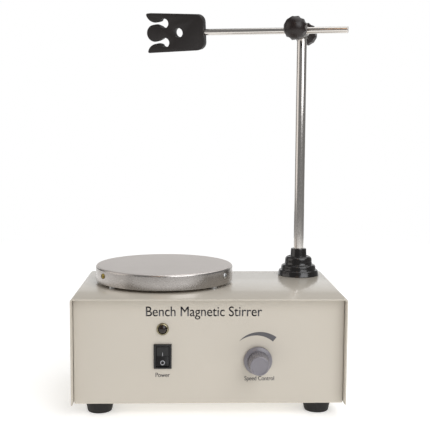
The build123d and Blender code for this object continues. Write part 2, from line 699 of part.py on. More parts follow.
fuse_plane = backward(fuse_x, rear_y, rear_parts_z)
fuse_bore_radius = 4.4
with BuildPart() as fuse_holder:
    lathe(fuse_plane, [
        (0, -28.0), (fuse_radius, -28.0), (fuse_radius, 0), (7.5, 0), (7.5, 2.4),
        (fuse_bore_radius, 2.4), (fuse_bore_radius, -26.0), (0, -26.0)])
pieces["fuse_holder"] = fuse_holder

with BuildPart() as fuse_cap:
    lathe(fuse_plane.offset(2.4), [
        (0, -8.0), (fuse_bore_radius - 0.1, -8.0), (fuse_bore_radius - 0.1, 0), (6.4, 0),
        (6.4, 5.0), (5.6, 5.8), (0, 5.8)])
    block(fuse_plane.offset(2.4 + 5.8), 8.0, 1.2, -1.2, Mode.SUBTRACT)
pieces["fuse_cap"] = fuse_cap

# ---------------------------------------------------------------- support rod and its base
rod_foot = top_z + base_socket_floor
# the steps of the base, as shares of its radius and height: each step is a wall that leans
# in to a rounded shoulder (start, middle, end), and then a nearly flat tread
base_steps = [
    ((0.965, 0.154), (0.949, 0.188), (0.904, 0.200)),
    ((0.838, 0.331), (0.808, 0.377), (0.737, 0.396)),
    ((0.652, 0.592), (0.601, 0.662), (0.505, 0.692)),
]
base_treads = [(0.859, 0.208), (0.672, 0.412), (0.394, 0.704)]
base_collar = [(0.374, 0.985), (0.354, 1.0), (0.0, 1.0)]


def base_point(shares):
    """A point of the base's outline, in millimetres."""
    return (shares[0] * base_radius, shares[1] * base_height)


with BuildPart() as rod_base:
    with BuildSketch(Plane(origin=upward(rod_x, rod_y, top_z).origin, x_dir=(1, 0, 0), z_dir=(0, -1, 0))):
        with BuildLine():
            Polyline((0, 0), (base_radius, 0), (base_radius, 0.6), base_point(base_steps[0][0]))
            for step, tread in zip(base_steps, base_treads):
                ThreePointArc(*[base_point(shares) for shares in step])
                Line(base_point(step[-1]), base_point(tread))
            for tread, step in zip(base_treads, base_steps[1:]):
                Line(base_point(tread), base_point(step[0]))
            Polyline(base_point(base_treads[-1]), *[base_point(shares) for shares in base_collar], (0, 0))
        make_face()
    revolve(axis=Axis(upward(rod_x, rod_y, 0).origin, (0, 0, 1)))
    disc(upward(rod_x, rod_y, rod_foot), rod_radius + running_gap, base_height, Mode.SUBTRACT)
    disc(upward(rod_x, rod_y, top_z), 3.0, base_socket_floor - 1.5, Mode.SUBTRACT)
pieces["rod_base"] = rod_base

washer_thickness = 1.6
with BuildPart() as base_washer:
    disc(upward(rod_x, rod_y, roof_z), 8.0, -washer_thickness)
    disc(upward(rod_x, rod_y, roof_z), 3.2, -washer_thickness, Mode.SUBTRACT)
pieces["base_washer"] = base_washer

with BuildPart() as base_screw:
    pan_screws([downward(rod_x, rod_y, roof_z - washer_thickness)], 3.0, 5.6, 3.6,
               washer_thickness + sheet + base_socket_floor - 2.0)
pieces["base_screw"] = base_screw

with BuildPart() as support_rod:
    disc(upward(rod_x, rod_y, rod_foot), rod_radius, rod_top - rod_foot)
    chamfer(support_rod.edges().group_by(Axis.Z)[-1], 0.8)
pieces["support_rod"] = support_rod

# ---------------------------------------------------------------- clamp on the support rod
clamp_axis = on_arm(0, -cross_offset)
clamp_body_chamfer = 0.8
with BuildPart() as clamp_body:
    disc(clamp_axis.offset(-clamp_body_rear), clamp_body_radius, clamp_body_rear + clamp_body_front)
    chamfer(clamp_body.edges().filter_by(GeomType.CIRCLE), clamp_body_chamfer)
    disc(upward(rod_x, rod_y, arm_height - 2 * clamp_body_radius), rod_radius + running_gap,
         4 * clamp_body_radius, Mode.SUBTRACT)
    cross_plane = Plane(origin=on_arm(-2 * clamp_body_radius).origin, x_dir=arm_front, z_dir=arm_along)
    disc(cross_plane, cross_radius + running_gap, 4 * clamp_body_radius, Mode.SUBTRACT)
    disc(clamp_axis.offset(cross_offset), clamp_screw_radius + 0.1, clamp_body_front, Mode.SUBTRACT)
    disc(clamp_axis, clamp_screw_radius + 0.1, -2 * clamp_body_rear, Mode.SUBTRACT)
pieces["clamp_body"] = clamp_body

front_seat = clamp_axis.offset(clamp_body_front + knob_neck)
rear_seat = Plane(origin=clamp_axis.offset(-clamp_body_rear - knob_neck).origin, x_dir=-arm_along, z_dir=-arm_front)
ball_centre = 0.82 * ball_radius
ball_top = ball_centre + ball_radius
knob_hub_radius = 6.0
knob_hub_height = 2.6
ball_back = knob_hub_height + 1.6
knob_bore_depth = 11.0
lobe_cut_depth = 0.7
lobe_half_angle = radians(180 / ball_lobes - 0.4)
lobe_floor = ball_radius - lobe_cut_depth
lobe_reach = (ball_radius ** 2 - lobe_floor ** 2) / (2 * (ball_radius * cos(lobe_half_angle) - lobe_floor))
for side, seat in (("front", front_seat), ("rear", rear_seat)):
    with BuildPart() as ball_knob:
        section = Plane(origin=seat.origin, x_dir=seat.x_dir, z_dir=-seat.y_dir)
        waist = sqrt(ball_radius ** 2 - (ball_centre - ball_back) ** 2)
        with BuildSketch(section):
            with BuildLine():
                Polyline((0, ball_top), (0, 0), (knob_hub_radius, 0), (knob_hub_radius, knob_hub_height),
                         (waist, ball_back))
                ThreePointArc((waist, ball_back), (ball_radius, ball_centre), (0, ball_top))
            make_face()
        revolve(axis=Axis(seat.origin, seat.z_dir))
        with BuildSketch(seat) as lobe_cuts:
            with PolarLocations(lobe_reach, ball_lobes):
                Circle(lobe_reach - lobe_floor)
        extrude(lobe_cuts.sketch, amount=ball_top, mode=Mode.SUBTRACT)
        disc(seat, clamp_screw_radius, knob_bore_depth, Mode.SUBTRACT)
    pieces[side + "_clamp_knob"] = ball_knob

    with BuildPart() as clamp_screw:
        if side == "front":
            tip = knob_neck + clamp_body_front - cross_offset - cross_radius - clamp_screw_gap
        else:
            tip = knob_neck + clamp_body_rear - rod_radius - clamp_screw_gap
        disc(seat.offset(-tip), clamp_screw_radius, tip + knob_bore_depth)
    pieces[side + "_clamp_screw"] = clamp_screw

# ---------------------------------------------------------------- cross rod and clip
with BuildPart() as cross_rod:
    cross_start = Plane(origin=on_arm(-cross_left).origin, x_dir=arm_front, z_dir=arm_along)
    disc(cross_start, cross_radius, cross_left + cross_right)
    chamfer(cross_rod.edges().filter_by(GeomType.CIRCLE), 0.4)
pieces["cross_rod"] = cross_rod

with BuildPart() as clip:
    # x runs from the clip's root towards its fingers, y is up
    clip_plane = Plane(origin=on_clip(-clip_start, clip_thickness / 2).origin, x_dir=-arm_along, z_dir=-clip_front)
    mouth_x = clip_seat_x + sqrt(clip_seat_radius ** 2 - clip_mouth_half ** 2)
    finger_top = (mouth_x, clip_seat_y + clip_mouth_half)
    head_corner = (mouth_x, clip_seat_y - clip_mouth_half)
    finger_low = (clip_finger_x, clip_finger_y - clip_finger_radius)
    finger_drop = sqrt(clip_finger_radius ** 2 - (clip_length - clip_finger_x) ** 2)
    finger_tip = (clip_length, clip_finger_y - finger_drop)
    shoulder = (clip_head_x - clip_head_radius / 2, clip_head_radius * sqrt(3) / 2)
    tip_start = (clip_length - clip_tip_radius, clip_tip_half)
    tip_middle = (clip_length - 0.25 * clip_tip_radius, clip_tip_half - 0.4 * clip_tip_radius)
    with BuildSketch(clip_plane) as clip_outline:
        with BuildLine():
            Polyline((clip_head_x + clip_head_radius, 0), (0, 0), (0, clip_root_half),
                     tip_start)
            ThreePointArc(tip_start, tip_middle, finger_tip)
            ThreePointArc(finger_tip, finger_low, finger_top)
            ThreePointArc(finger_top, (clip_seat_x - clip_seat_radius, clip_seat_y), head_corner)
            Line(head_corner, shoulder)
            ThreePointArc(shoulder, (clip_head_x + clip_head_radius * sqrt(3) / 2, clip_head_radius / 2),
                          (clip_head_x + clip_head_radius, 0))
        make_face()
        mirror(about=Plane.XZ)
        root_corners = clip_outline.vertices().sort_by(Axis.X)[:2]
        fillet(root_corners, clip_corner_radius)
        with Locations((clip_hole_x, 0)):
            Circle(clip_hole_radius, mode=Mode.SUBTRACT)
    extrude(amount=clip_thickness)
    clip_bore = Plane(origin=on_arm(-clip_start).origin, x_dir=arm_front, z_dir=-arm_along)
    disc(clip_bore, cross_radius + running_gap, clip_bore_end, Mode.SUBTRACT)
pieces["clip"] = clip

# ---------------------------------------------------------------- files
for name, piece in pieces.items():
    piece.part.label = name
    export_step(piece.part, "parts/" + name + ".step")
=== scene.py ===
"""Looks of a bench magnetic stirrer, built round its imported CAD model.

The frame gives every place and most sizes. Each sub-assembly is a class that models its
pieces with Blender's own tools and dresses them; each finish is a frozen dataclass.
"""

import json
import logging
import math
from dataclasses import dataclass, field
from enum import Enum
from typing import Iterable, Optional

import bpy
from mathutils import Matrix, Vector


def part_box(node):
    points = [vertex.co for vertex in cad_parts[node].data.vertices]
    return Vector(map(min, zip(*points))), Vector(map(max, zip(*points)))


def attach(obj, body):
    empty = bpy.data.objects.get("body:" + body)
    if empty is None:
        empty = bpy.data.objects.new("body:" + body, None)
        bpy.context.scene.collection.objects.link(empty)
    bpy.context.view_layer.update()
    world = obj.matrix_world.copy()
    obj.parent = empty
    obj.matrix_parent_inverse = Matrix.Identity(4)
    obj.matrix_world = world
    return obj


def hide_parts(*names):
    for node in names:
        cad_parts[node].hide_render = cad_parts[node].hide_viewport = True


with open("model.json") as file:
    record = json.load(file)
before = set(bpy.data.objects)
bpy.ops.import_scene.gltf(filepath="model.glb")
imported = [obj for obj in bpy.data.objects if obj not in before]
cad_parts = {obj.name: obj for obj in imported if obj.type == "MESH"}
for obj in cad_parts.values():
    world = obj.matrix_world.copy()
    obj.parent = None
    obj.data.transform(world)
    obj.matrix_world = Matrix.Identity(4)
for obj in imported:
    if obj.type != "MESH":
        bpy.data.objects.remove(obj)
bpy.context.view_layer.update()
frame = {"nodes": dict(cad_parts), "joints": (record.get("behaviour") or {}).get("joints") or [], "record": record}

log = logging.getLogger("stirrer")
MM = 0.001
METRE = 1000.0  # in millimetres
FRONT = Vector((0.0, -1.0, 0.0))
RIGHT = Vector((1.0, 0.0, 0.0))
UP = Vector((0.0, 0.0, 1.0))
Profile = list[tuple[float, float]]


# ------------------------------------------------------------------ places
@dataclass(frozen=True)
class Seat:
    """A place with its own axes. Lengths given to it are millimetres.

    Args:
        origin: The place, in metres.
        right: Unit vector of its first axis.
        out: Unit vector of its third axis, away from the surface it lies on.
    """

    origin: Vector
    right: Vector
    out: Vector

    @property
    def up(self) -> Vector:
        """The second axis, a unit vector."""
        return self.out.cross(self.right)

    def at(self, right: float = 0.0, up: float = 0.0, out: float = 0.0) -> Vector:
        """Finds the point, in metres, at three distances along the seat's axes."""
        return self.origin + (self.right * right + self.up * up + self.out * out) * MM

    def moved(self, right: float = 0.0, up: float = 0.0, out: float = 0.0) -> "Seat":
        """Makes a seat with the same axes at the point that `at` finds."""
        return Seat(self.at(right, up, out), self.right, self.out)

    def matrix(self) -> Matrix:
        """Gives the seat's turn and place as a 4x4 matrix."""
        turn = Matrix((self.right, self.up, self.out)).transposed().to_4x4()
        return Matrix.Translation(self.origin) @ turn


def middle(node: str) -> Vector:
    """Finds the middle of a CAD node's box.

    Args:
        node: The CAD node.

    Returns:
        The point, in metres.
    """
    low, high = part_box(node)
    return (low + high) / 2


def standing(node: str) -> tuple[Seat, float, float]:
    """Measures a CAD node that was turned round an upright axis.

    Args:
        node: The CAD node.

    Returns:
        A seat under its middle, its radius and its height, both in millimetres.
    """
    low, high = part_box(node)
    foot = Vector(((low.x + high.x) / 2, (low.y + high.y) / 2, low.z))
    return Seat(foot, RIGHT, UP), (high.x - low.x) / 2 / MM, (high.z - low.z) / MM


def joint(name: str) -> dict:
    """Finds a joint in the frame.

    Args:
        name: The joint.

    Returns:
        Its entry.
    """
    return next(entry for entry in frame["joints"] if entry["name"] == name)


# ------------------------------------------------------------------ finishes
def linear(code: str) -> tuple[float, float, float, float]:
    """Turns an sRGB hex colour into the linear colour that shaders use.

    Args:
        code: Six hex digits, with or without a leading hash.

    Returns:
        Red, green, blue and an alpha of one.
    """
    digits = code.lstrip("#")
    parts = [int(digits[i:i + 2], 16) / 255 for i in (0, 2, 4)]
    red, green, blue = (p / 12.92 if p <= 0.04045 else ((p + 0.055) / 1.055) ** 2.4
                        for p in parts)
    return (red, green, blue, 1.0)


class Pattern(Enum):
    """How the small relief of a surface runs."""

    PEEL = "cells of a sprayed or baked coat"
    GRAIN = "even grain of a moulded or blasted surface"
    RINGS = "rings left by a lathe round a vertical axis"
    STREAKS = "long streaks left by a belt or a drawing die"


@dataclass(frozen=True)
class Finish:
    """One material, started from what the real one is.

    Args:
        name: What it is and how it was made.
        tone: Main colour, sRGB hex.
        shade: Colour that it varies towards, sRGB hex.
        rough: Middle roughness.
        swing: How far roughness varies each way.
        metal: Metallic, 0 or 1.
        coat: Weight of a clear top layer.
        ior: Index of refraction, for what isn't metal.
        clear: Transmission, for a lens.
        pattern: How the relief runs.
        cell: Size of one cell or streak of the relief along X, Y and Z, millimetres.
        depth: Height of the relief, millimetres.
        cloud: Size of the slow variation of colour, millimetres.
        centre: Middle of the rings, in metres, where the pattern has one.
        glow: Light that it gives off by itself, for a lit table.
    """

    name: str
    tone: str
    shade: str
    rough: float
    swing: float = 0.04
    metal: float = 0.0
    coat: float = 0.0
    ior: float = 1.5
    clear: float = 0.0
    pattern: Pattern = Pattern.GRAIN
    cell: tuple[float, float, float] = (0.4, 0.4, 0.4)
    depth: float = 0.004
    cloud: float = 18.0
    centre: Vector = field(default_factory=Vector)
    glow: float = 0.0

    def build(self) -> bpy.types.Material:
        """Makes the material once and returns it.

        Returns:
            The material, from the file if it was made before.
        """
        known = bpy.data.materials.get(self.name)
        if known:
            return known
        made = bpy.data.materials.new(self.name)
        made.use_nodes = True
        made.diffuse_color = linear(self.tone)
        tree = made.node_tree
        shader = tree.nodes["Principled BSDF"]
        shader.inputs["Metallic"].default_value = self.metal
        shader.inputs["Coat Weight"].default_value = self.coat
        shader.inputs["Coat Roughness"].default_value = COAT_ROUGHNESS
        shader.inputs["Transmission Weight"].default_value = self.clear
        shader.inputs["Emission Color"].default_value = linear(self.tone)
        shader.inputs["Emission Strength"].default_value = self.glow
        if not self.metal:
            shader.inputs["IOR"].default_value = self.ior
        place = add_node(tree, "ShaderNodeTexCoord")
        slow = add_node(tree, "ShaderNodeMapping", {"Scale": (METRE / self.cloud,) * 3},
                        {"Vector": place.outputs["Object"]})
        blotch = add_node(tree, "ShaderNodeTexNoise", {"Scale": 1.0, "Detail": 3.0},
                          {"Vector": slow.outputs["Vector"]})
        tint = add_node(tree, "ShaderNodeMix", {6: linear(self.tone), 7: linear(self.shade)},
                        {"Factor": blotch.outputs["Fac"]}, data_type="RGBA")
        tree.links.new(tint.outputs[2], shader.inputs["Base Color"])
        fine = self._relief(tree, place)
        sheen = add_node(tree, "ShaderNodeMapRange",
                         {"To Min": self.rough - self.swing, "To Max": self.rough + self.swing},
                         {"Value": fine})
        tree.links.new(sheen.outputs["Result"], shader.inputs["Roughness"])
        bump = add_node(tree, "ShaderNodeBump", {"Strength": 1.0, "Distance": self.depth * MM},
                        {"Height": fine})
        tree.links.new(bump.outputs["Normal"], shader.inputs["Normal"])
        return made

    def _relief(self, tree: bpy.types.NodeTree, place: bpy.types.Node) -> bpy.types.NodeSocket:
        """Adds the fine pattern and returns the socket that gives its height.

        Args:
            tree: The material's nodes.
            place: Its Texture Coordinate node.

        Returns:
            A value from about 0 to 1.
        """
        scale = tuple(METRE / size for size in self.cell)
        shift = tuple(-c * s for c, s in zip(self.centre, scale))
        fitted = add_node(tree, "ShaderNodeMapping", {"Scale": scale, "Location": shift},
                          {"Vector": place.outputs["Object"]})
        if self.pattern is Pattern.RINGS:
            rings = add_node(tree, "ShaderNodeTexWave", LATHE_RINGS,
                             {"Vector": fitted.outputs["Vector"]},
                             wave_type="RINGS", rings_direction="Z")
            return rings.outputs["Fac"]
        detail = 1.0 if self.pattern is Pattern.PEEL else 4.0
        grain = add_node(tree, "ShaderNodeTexNoise", {"Scale": 1.0, "Detail": detail},
                         {"Vector": fitted.outputs["Vector"]})
        return grain.outputs["Fac"]


def add_node(tree: bpy.types.NodeTree, kind: str, values: Optional[dict] = None,
             links: Optional[dict] = None, **options: str) -> bpy.types.Node:
    """Adds one shader node with its settings and links.

    Args:
        tree: Where it goes.
        kind: Blender's name of the node.
        values: Input names or numbers to values.
        links: Input names to the sockets that feed them.
        **options: Settings of the node itself.

    Returns:
        The new node.
    """
    node = tree.nodes.new(kind)
    for key, value in options.items():
        setattr(node, key, value)
    for key, value in (values or {}).items():
        node.inputs[key].default_value = value
    for key, socket in (links or {}).items():
        tree.links.new(socket, node.inputs[key])
    return node


COAT_ROUGHNESS = 0.06
LATHE_RINGS = {"Scale": 0.16, "Distortion": 1.4, "Detail": 2.0, "Detail Scale": 1.5}
PLATE_MIDDLE = middle("plate_cap")

# Powder coat baked on steel sheet: warm cream, semi-gloss, with a shallow orange peel.
POWDER_COAT = Finish("cream_powder_coat", "#CBC4B8", "#C6BFB2", 0.25, 0.03, coat=0.25,
                     pattern=Pattern.PEEL, cell=(1.6, 1.6, 1.6), depth=0.010, cloud=60.0)
# Aluminium face turned on a lathe and bead blasted: dull, pale, with faint rings.
BLASTED_ALUMINIUM = Finish("blasted_aluminium", "#EBE5E1", "#E3DDD8", 0.48, 0.05, metal=1.0,
                           cell=(0.5, 0.5, 0.5), depth=0.006, cloud=35.0)
# Aluminium skirt brushed round its edge: fine level streaks and a soft sparkle.
BRUSHED_ALUMINIUM = Finish("brushed_aluminium", "#C6C1BD", "#ACA7A3", 0.26, 0.08, metal=1.0,
                           pattern=Pattern.STREAKS, cell=(2.6, 2.6, 0.25), depth=0.005, cloud=12.0)
# Chrome plate on drawn steel bar: bright, with hair-fine marks along its length.
CHROMED_BAR = Finish("chromed_steel_bar", "#DAD6D1", "#D0CBC6", 0.15, 0.02, metal=1.0,
                     pattern=Pattern.STREAKS, cell=(0.8, 0.8, 40.0), depth=0.00005, cloud=40.0)
# Chromed die casting, polished: a little softer than the bar.
POLISHED_CASTING = Finish("polished_chromed_casting", "#CFCBC6", "#C3BFB9", 0.16, 0.05, metal=1.0,
                          cell=(0.8, 0.8, 0.8), depth=0.003, cloud=10.0)
# Phenolic pressed in a polished mould: black with a brown cast and a hard gloss.
BAKELITE = Finish("polished_phenolic", "#0D0A09", "#130F0E", 0.20, 0.04, coat=0.2, ior=1.58,
                  cell=(1.2, 1.2, 1.2), depth=0.004, cloud=9.0)
# The same phenolic on the ball knobs, dulled by hands.
WORN_BAKELITE = Finish("worn_phenolic", "#150A08", "#1D100D", 0.36, 0.06, ior=1.48,
                       cell=(1.0, 1.0, 1.0), depth=0.005, cloud=7.0)
# Black ABS moulded in a spark-eroded mould: satin, even grain.
SATIN_ABS = Finish("satin_black_abs", "#130D0C", "#191312", 0.48, 0.05, ior=1.48,
                   cell=(0.35, 0.35, 0.35), depth=0.008, cloud=14.0)
# Nylon of the switch: blacker, smooth, slightly glossy.
SWITCH_NYLON = Finish("black_switch_nylon", "#0C0B0C", "#121112", 0.34, 0.04, ior=1.48,
                      cell=(0.3, 0.3, 0.3), depth=0.003, cloud=6.0)
# Moulded rubber: dull black with a dusty bloom.
RUBBER = Finish("moulded_rubber", "#110F0E", "#181614", 0.72, 0.08, ior=1.52,
                cell=(0.5, 0.5, 0.5), depth=0.015, cloud=8.0)
# Grey ABS of the speed knob, polished mould with a fine grain on the grip.
GREY_ABS = Finish("grey_abs", "#817E84", "#79767C", 0.30, 0.04, coat=0.15, ior=1.53,
                  cell=(0.3, 0.3, 0.3), depth=0.004, cloud=10.0)
# Nickel-plated brass of the lamp ring.
NICKEL_RING = Finish("nickel_plated_brass", "#A49C82", "#8F886F", 0.26, 0.04, metal=1.0,
                     cell=(0.4, 0.4, 0.4), depth=0.002, cloud=6.0)
# Dark amber polycarbonate over an unlit lamp: looks nearly black, brown in the middle.
AMBER_LENS = Finish("amber_polycarbonate", "#2A190B", "#150C05", 0.16, 0.03, clear=0.1,
                    cell=(0.7, 0.7, 0.7), depth=0.002, cloud=3.0)
# Zinc plate with a clear passivate: pale, slightly blue steel.
ZINC_PLATE = Finish("clear_zinc_plate", "#D2D3D4", "#C0C2C4", 0.30, 0.06, metal=1.0,
                    cell=(0.6, 0.6, 0.6), depth=0.003, cloud=4.0)
# Zinc plate with a yellow passivate: straw yellow with green and brown patches.
YELLOW_ZINC = Finish("yellow_zinc_plate", "#B5A25C", "#8A7640", 0.30, 0.06, metal=1.0,
                     cell=(0.6, 0.6, 0.6), depth=0.003, cloud=2.5)
# Screen ink on the paint: flat dark grey, a hair thick.
PRINT_INK = Finish("grey_screen_ink", "#58575A", "#605F62", 0.55, 0.05, cell=(0.25, 0.25, 0.25),
                   depth=0.004, cloud=5.0)
# Pad-printed marks on the rocker.
WHITE_INK = Finish("white_pad_ink", "#B4B4B8", "#A8A8AC", 0.50, 0.05, cell=(0.2, 0.2, 0.2),
                   depth=0.003, cloud=2.0)
# Bare turned or ground steel, inside.
TURNED_STEEL = Finish("turned_steel", "#B9B8B6", "#A9A8A6", 0.28, 0.06, metal=1.0,
                      pattern=Pattern.RINGS, cell=(1.0, 1.0, 1.0), depth=0.003, cloud=10.0,
                      centre=PLATE_MIDDLE)
# Pressed and lacquered motor steel, inside.
MOTOR_STEEL = Finish("lacquered_motor_steel", "#6E6F70", "#5F6061", 0.45, 0.06, metal=1.0,
                     cell=(0.8, 0.8, 0.8), depth=0.006, cloud=15.0)
# Sintered magnets with nickel plate, inside.
MAGNET_PLATE = Finish("nickel_plated_magnet", "#BDB9B2", "#ACA8A1", 0.22, 0.05, metal=1.0,
                      cell=(0.5, 0.5, 0.5), depth=0.003, cloud=7.0)
# Stamped brass of terminals and sintered bushes, inside.
STAMPED_BRASS = Finish("stamped_brass", "#C2A35A", "#A88A48", 0.30, 0.06, metal=1.0,
                       cell=(0.5, 0.5, 0.5), depth=0.003, cloud=5.0)
# Glass-fibre board with green resist, inside.
BOARD_RESIST = Finish("green_board_resist", "#1F5B34", "#184A2A", 0.35, 0.05, coat=0.3,
                      cell=(0.9, 0.9, 0.9), depth=0.006, cloud=12.0)
# Natural nylon of the board's spacers, inside.
NATURAL_NYLON = Finish("natural_nylon", "#DEDBD0", "#D2CEC1", 0.45, 0.05, ior=1.53, cloud=6.0)
# Epoxy-dipped film capacitor, inside.
YELLOW_EPOXY = Finish("yellow_epoxy", "#C79A2B", "#B58722", 0.25, 0.05, coat=0.2, cloud=8.0)

DRESS: dict[str, Finish] = {
    "cream_paint": POWDER_COAT,
    "black_rubber": RUBBER,
    "zinc_steel": ZINC_PLATE,
    "brushed_plate": BLASTED_ALUMINIUM,
    "chrome_ring": NICKEL_RING,
    "amber_lens": AMBER_LENS,
    "switch_black": SWITCH_NYLON,
    "tinned_brass": STAMPED_BRASS,
    "grey_knob": GREY_ABS,
    "turned_steel": TURNED_STEEL,
    "potentiometer_case": ZINC_PLATE,
    "motor_steel": MOTOR_STEEL,
    "magnet_nickel": MAGNET_PLATE,
    "board_green": BOARD_RESIST,
    "nylon_white": NATURAL_NYLON,
    "black_case": SATIN_ABS,
    "film_yellow": YELLOW_EPOXY,
    "black_bakelite": BAKELITE,
    "chromed_rod": CHROMED_BAR,
    "polished_clamp": POLISHED_CASTING,
    "clip_black": SATIN_ABS,
}


# ------------------------------------------------------------------ modelling by hand
class Bench:
    """The few moves that every piece is modelled with."""

    @staticmethod
    def clear() -> None:
        """Leaves edit mode and selects nothing."""
        if bpy.context.mode != "OBJECT":
            bpy.ops.object.mode_set(mode="OBJECT")
        bpy.ops.object.select_all(action="DESELECT")

    @staticmethod
    def pick(piece: bpy.types.Object) -> None:
        """Selects one piece and makes it active.

        Args:
            piece: The object to work on.
        """
        Bench.clear()
        piece.select_set(True)
        bpy.context.view_layer.objects.active = piece

    @staticmethod
    def choose(piece: bpy.types.Object, kind: str, wanted: list[bool]) -> None:
        """Selects faces or edges by a list of yes and no, and stays in edit mode.

        Args:
            piece: The object.
            kind: "FACE" or "EDGE".
            wanted: One entry for each face or edge.
        """
        Bench.pick(piece)
        bpy.ops.object.mode_set(mode="EDIT")
        bpy.ops.mesh.select_mode(type=kind)
        bpy.ops.mesh.select_all(action="DESELECT")
        bpy.ops.object.mode_set(mode="OBJECT")
        parts = piece.data.polygons if kind == "FACE" else piece.data.edges
        parts.foreach_set("select", wanted)
        bpy.ops.object.mode_set(mode="EDIT")

    @staticmethod
    def trace(name: str, points: Iterable[Vector]) -> bpy.types.Object:
        """Draws a chain of edges, point by point, and stays in edit mode.

        Args:
            name: The piece's name.
            points: The chain's points, in metres.

        Returns:
            The new object, with its last vertex selected.
        """
        chain = list(points)
        Bench.clear()
        bpy.ops.mesh.primitive_plane_add(size=MM, location=chain[0])
        piece = bpy.context.object
        piece.name = name
        bpy.ops.object.mode_set(mode="EDIT")
        bpy.ops.mesh.select_mode(type="VERT")
        bpy.ops.mesh.select_all(action="SELECT")
        bpy.ops.mesh.merge(type="CENTER")
        for start, end in zip(chain, chain[1:]):
            bpy.ops.mesh.extrude_vertices_move(TRANSFORM_OT_translate={"value": end - start})
        return piece

    @staticmethod
    def turned(name: str, seat: Seat, profile: Profile, steps: int = 96) -> bpy.types.Object:
        """Turns an outline round a seat's outward axis.

        Args:
            name: The piece's name.
            seat: Its origin and axis.
            profile: Points (radius, height) in millimetres, from the axis to the axis, or a
                closed ring that ends where it starts.
            steps: Facets round the axis.

        Returns:
            The closed piece, its origin at the frame's origin.
        """
        piece = Bench.trace(name, [seat.at(radius, 0, height) for radius, height in profile])
        bpy.ops.mesh.select_all(action="SELECT")
        bpy.ops.mesh.spin(steps=steps, angle=math.tau, center=seat.origin, axis=seat.out)
        Bench.settle()
        return Bench.done(piece)

    @staticmethod
    def settle() -> None:
        """Merges doubles and turns every face outwards, in edit mode."""
        bpy.ops.mesh.select_all(action="SELECT")
        bpy.ops.mesh.remove_doubles(threshold=2e-6)
        bpy.ops.mesh.dissolve_degenerate(threshold=1e-7)
        bpy.ops.mesh.normals_make_consistent(inside=False)

    @staticmethod
    def cut_out(name: str, seat: Seat, outline: Profile, depth: float,
                taper: float = 1.0) -> bpy.types.Object:
        """Makes a flat piece from an outline on a seat, thickened along its axis.

        Args:
            name: The piece's name.
            seat: The plane that the outline lies on.
            outline: Points (right, up) in millimetres, in order round it.
            depth: Thickness along the seat's outward axis, millimetres.
            taper: Size of the far face against the near one.

        Returns:
            The closed piece.
        """
        piece = Bench.trace(name, [seat.at(right, up) for right, up in outline])
        bpy.ops.mesh.select_all(action="SELECT")
        bpy.ops.mesh.edge_face_add()
        bpy.ops.mesh.select_all(action="SELECT")
        bpy.ops.mesh.extrude_region_move(TRANSFORM_OT_translate={"value": seat.out * depth * MM})
        if taper != 1.0:
            bpy.ops.transform.resize(value=(taper,) * 3, center_override=seat.at(out=depth))
        Bench.settle()
        return Bench.done(piece)

    @staticmethod
    def bar(name: str, seat: Seat, width: float, height: float, depth: float,
            lift: float = 0.0) -> bpy.types.Object:
        """Makes a rectangular bar on a seat, centred on it.

        Args:
            name: The piece's name.
            seat: The plane that it rises from.
            width: Size along the seat's first axis, millimetres.
            height: Size along its second axis.
            depth: Size along its third axis; negative goes into the surface.
            lift: Where its foot is along the third axis.

        Returns:
            The closed piece.
        """
        Bench.clear()
        bpy.ops.mesh.primitive_cube_add(size=1.0)
        piece = bpy.context.object
        piece.name = name
        size = Matrix.Diagonal((width * MM, height * MM, abs(depth) * MM, 1.0))
        piece.matrix_world = seat.moved(out=lift + depth / 2).matrix() @ size
        return Bench.done(piece)

    @staticmethod
    def done(piece: bpy.types.Object) -> bpy.types.Object:
        """Puts a piece's place into its mesh.

        Args:
            piece: The object.

        Returns:
            The same object, at the origin.
        """
        Bench.pick(piece)
        bpy.ops.object.transform_apply(location=True, rotation=True, scale=True)
        return piece

    @staticmethod
    def modifier(piece: bpy.types.Object, kind: str, **settings: object) -> None:
        """Adds a modifier with its settings and applies it.

        Args:
            piece: The object.
            kind: Blender's name of the modifier.
            **settings: Its settings.
        """
        Bench.pick(piece)
        bpy.ops.object.modifier_add(type=kind)
        added = piece.modifiers[-1]
        for key, value in settings.items():
            setattr(added, key, value)
        bpy.ops.object.modifier_apply(modifier=added.name)

    @staticmethod
    def soften(piece: bpy.types.Object, width: float, segments: int = 3,
               angle: float = 30.0) -> None:
        """Rounds every edge that is sharper than an angle, and smooths the rest.

        Args:
            piece: The object.
            width: Size of the rounding, millimetres.
            segments: Facets across it.
            angle: Edges sharper than this are rounded, degrees.
        """
        Bench.modifier(piece, "BEVEL", width=width * MM, segments=segments, limit_method="ANGLE",
                       angle_limit=math.radians(angle), miter_outer="MITER_ARC")
        Bench.smooth(piece)

    @staticmethod
    def smooth(piece: bpy.types.Object, angle: float = 40.0) -> None:
        """Shades a piece smooth. Edges sharper than the angle, in degrees, stay sharp."""
        Bench.pick(piece)
        bpy.ops.object.shade_smooth_by_angle(angle=math.radians(angle))

    @staticmethod
    def carve(piece: bpy.types.Object, cutter: bpy.types.Object,
              how: str = "DIFFERENCE") -> None:
        """Cuts one piece with another, which is used up.

        Args:
            piece: What is cut.
            cutter: What cuts it.
            how: The boolean operation.
        """
        Bench.modifier(piece, "BOOLEAN", operation=how, object=cutter, solver="EXACT",
                       use_self=True)
        bpy.data.objects.remove(cutter, do_unlink=True)

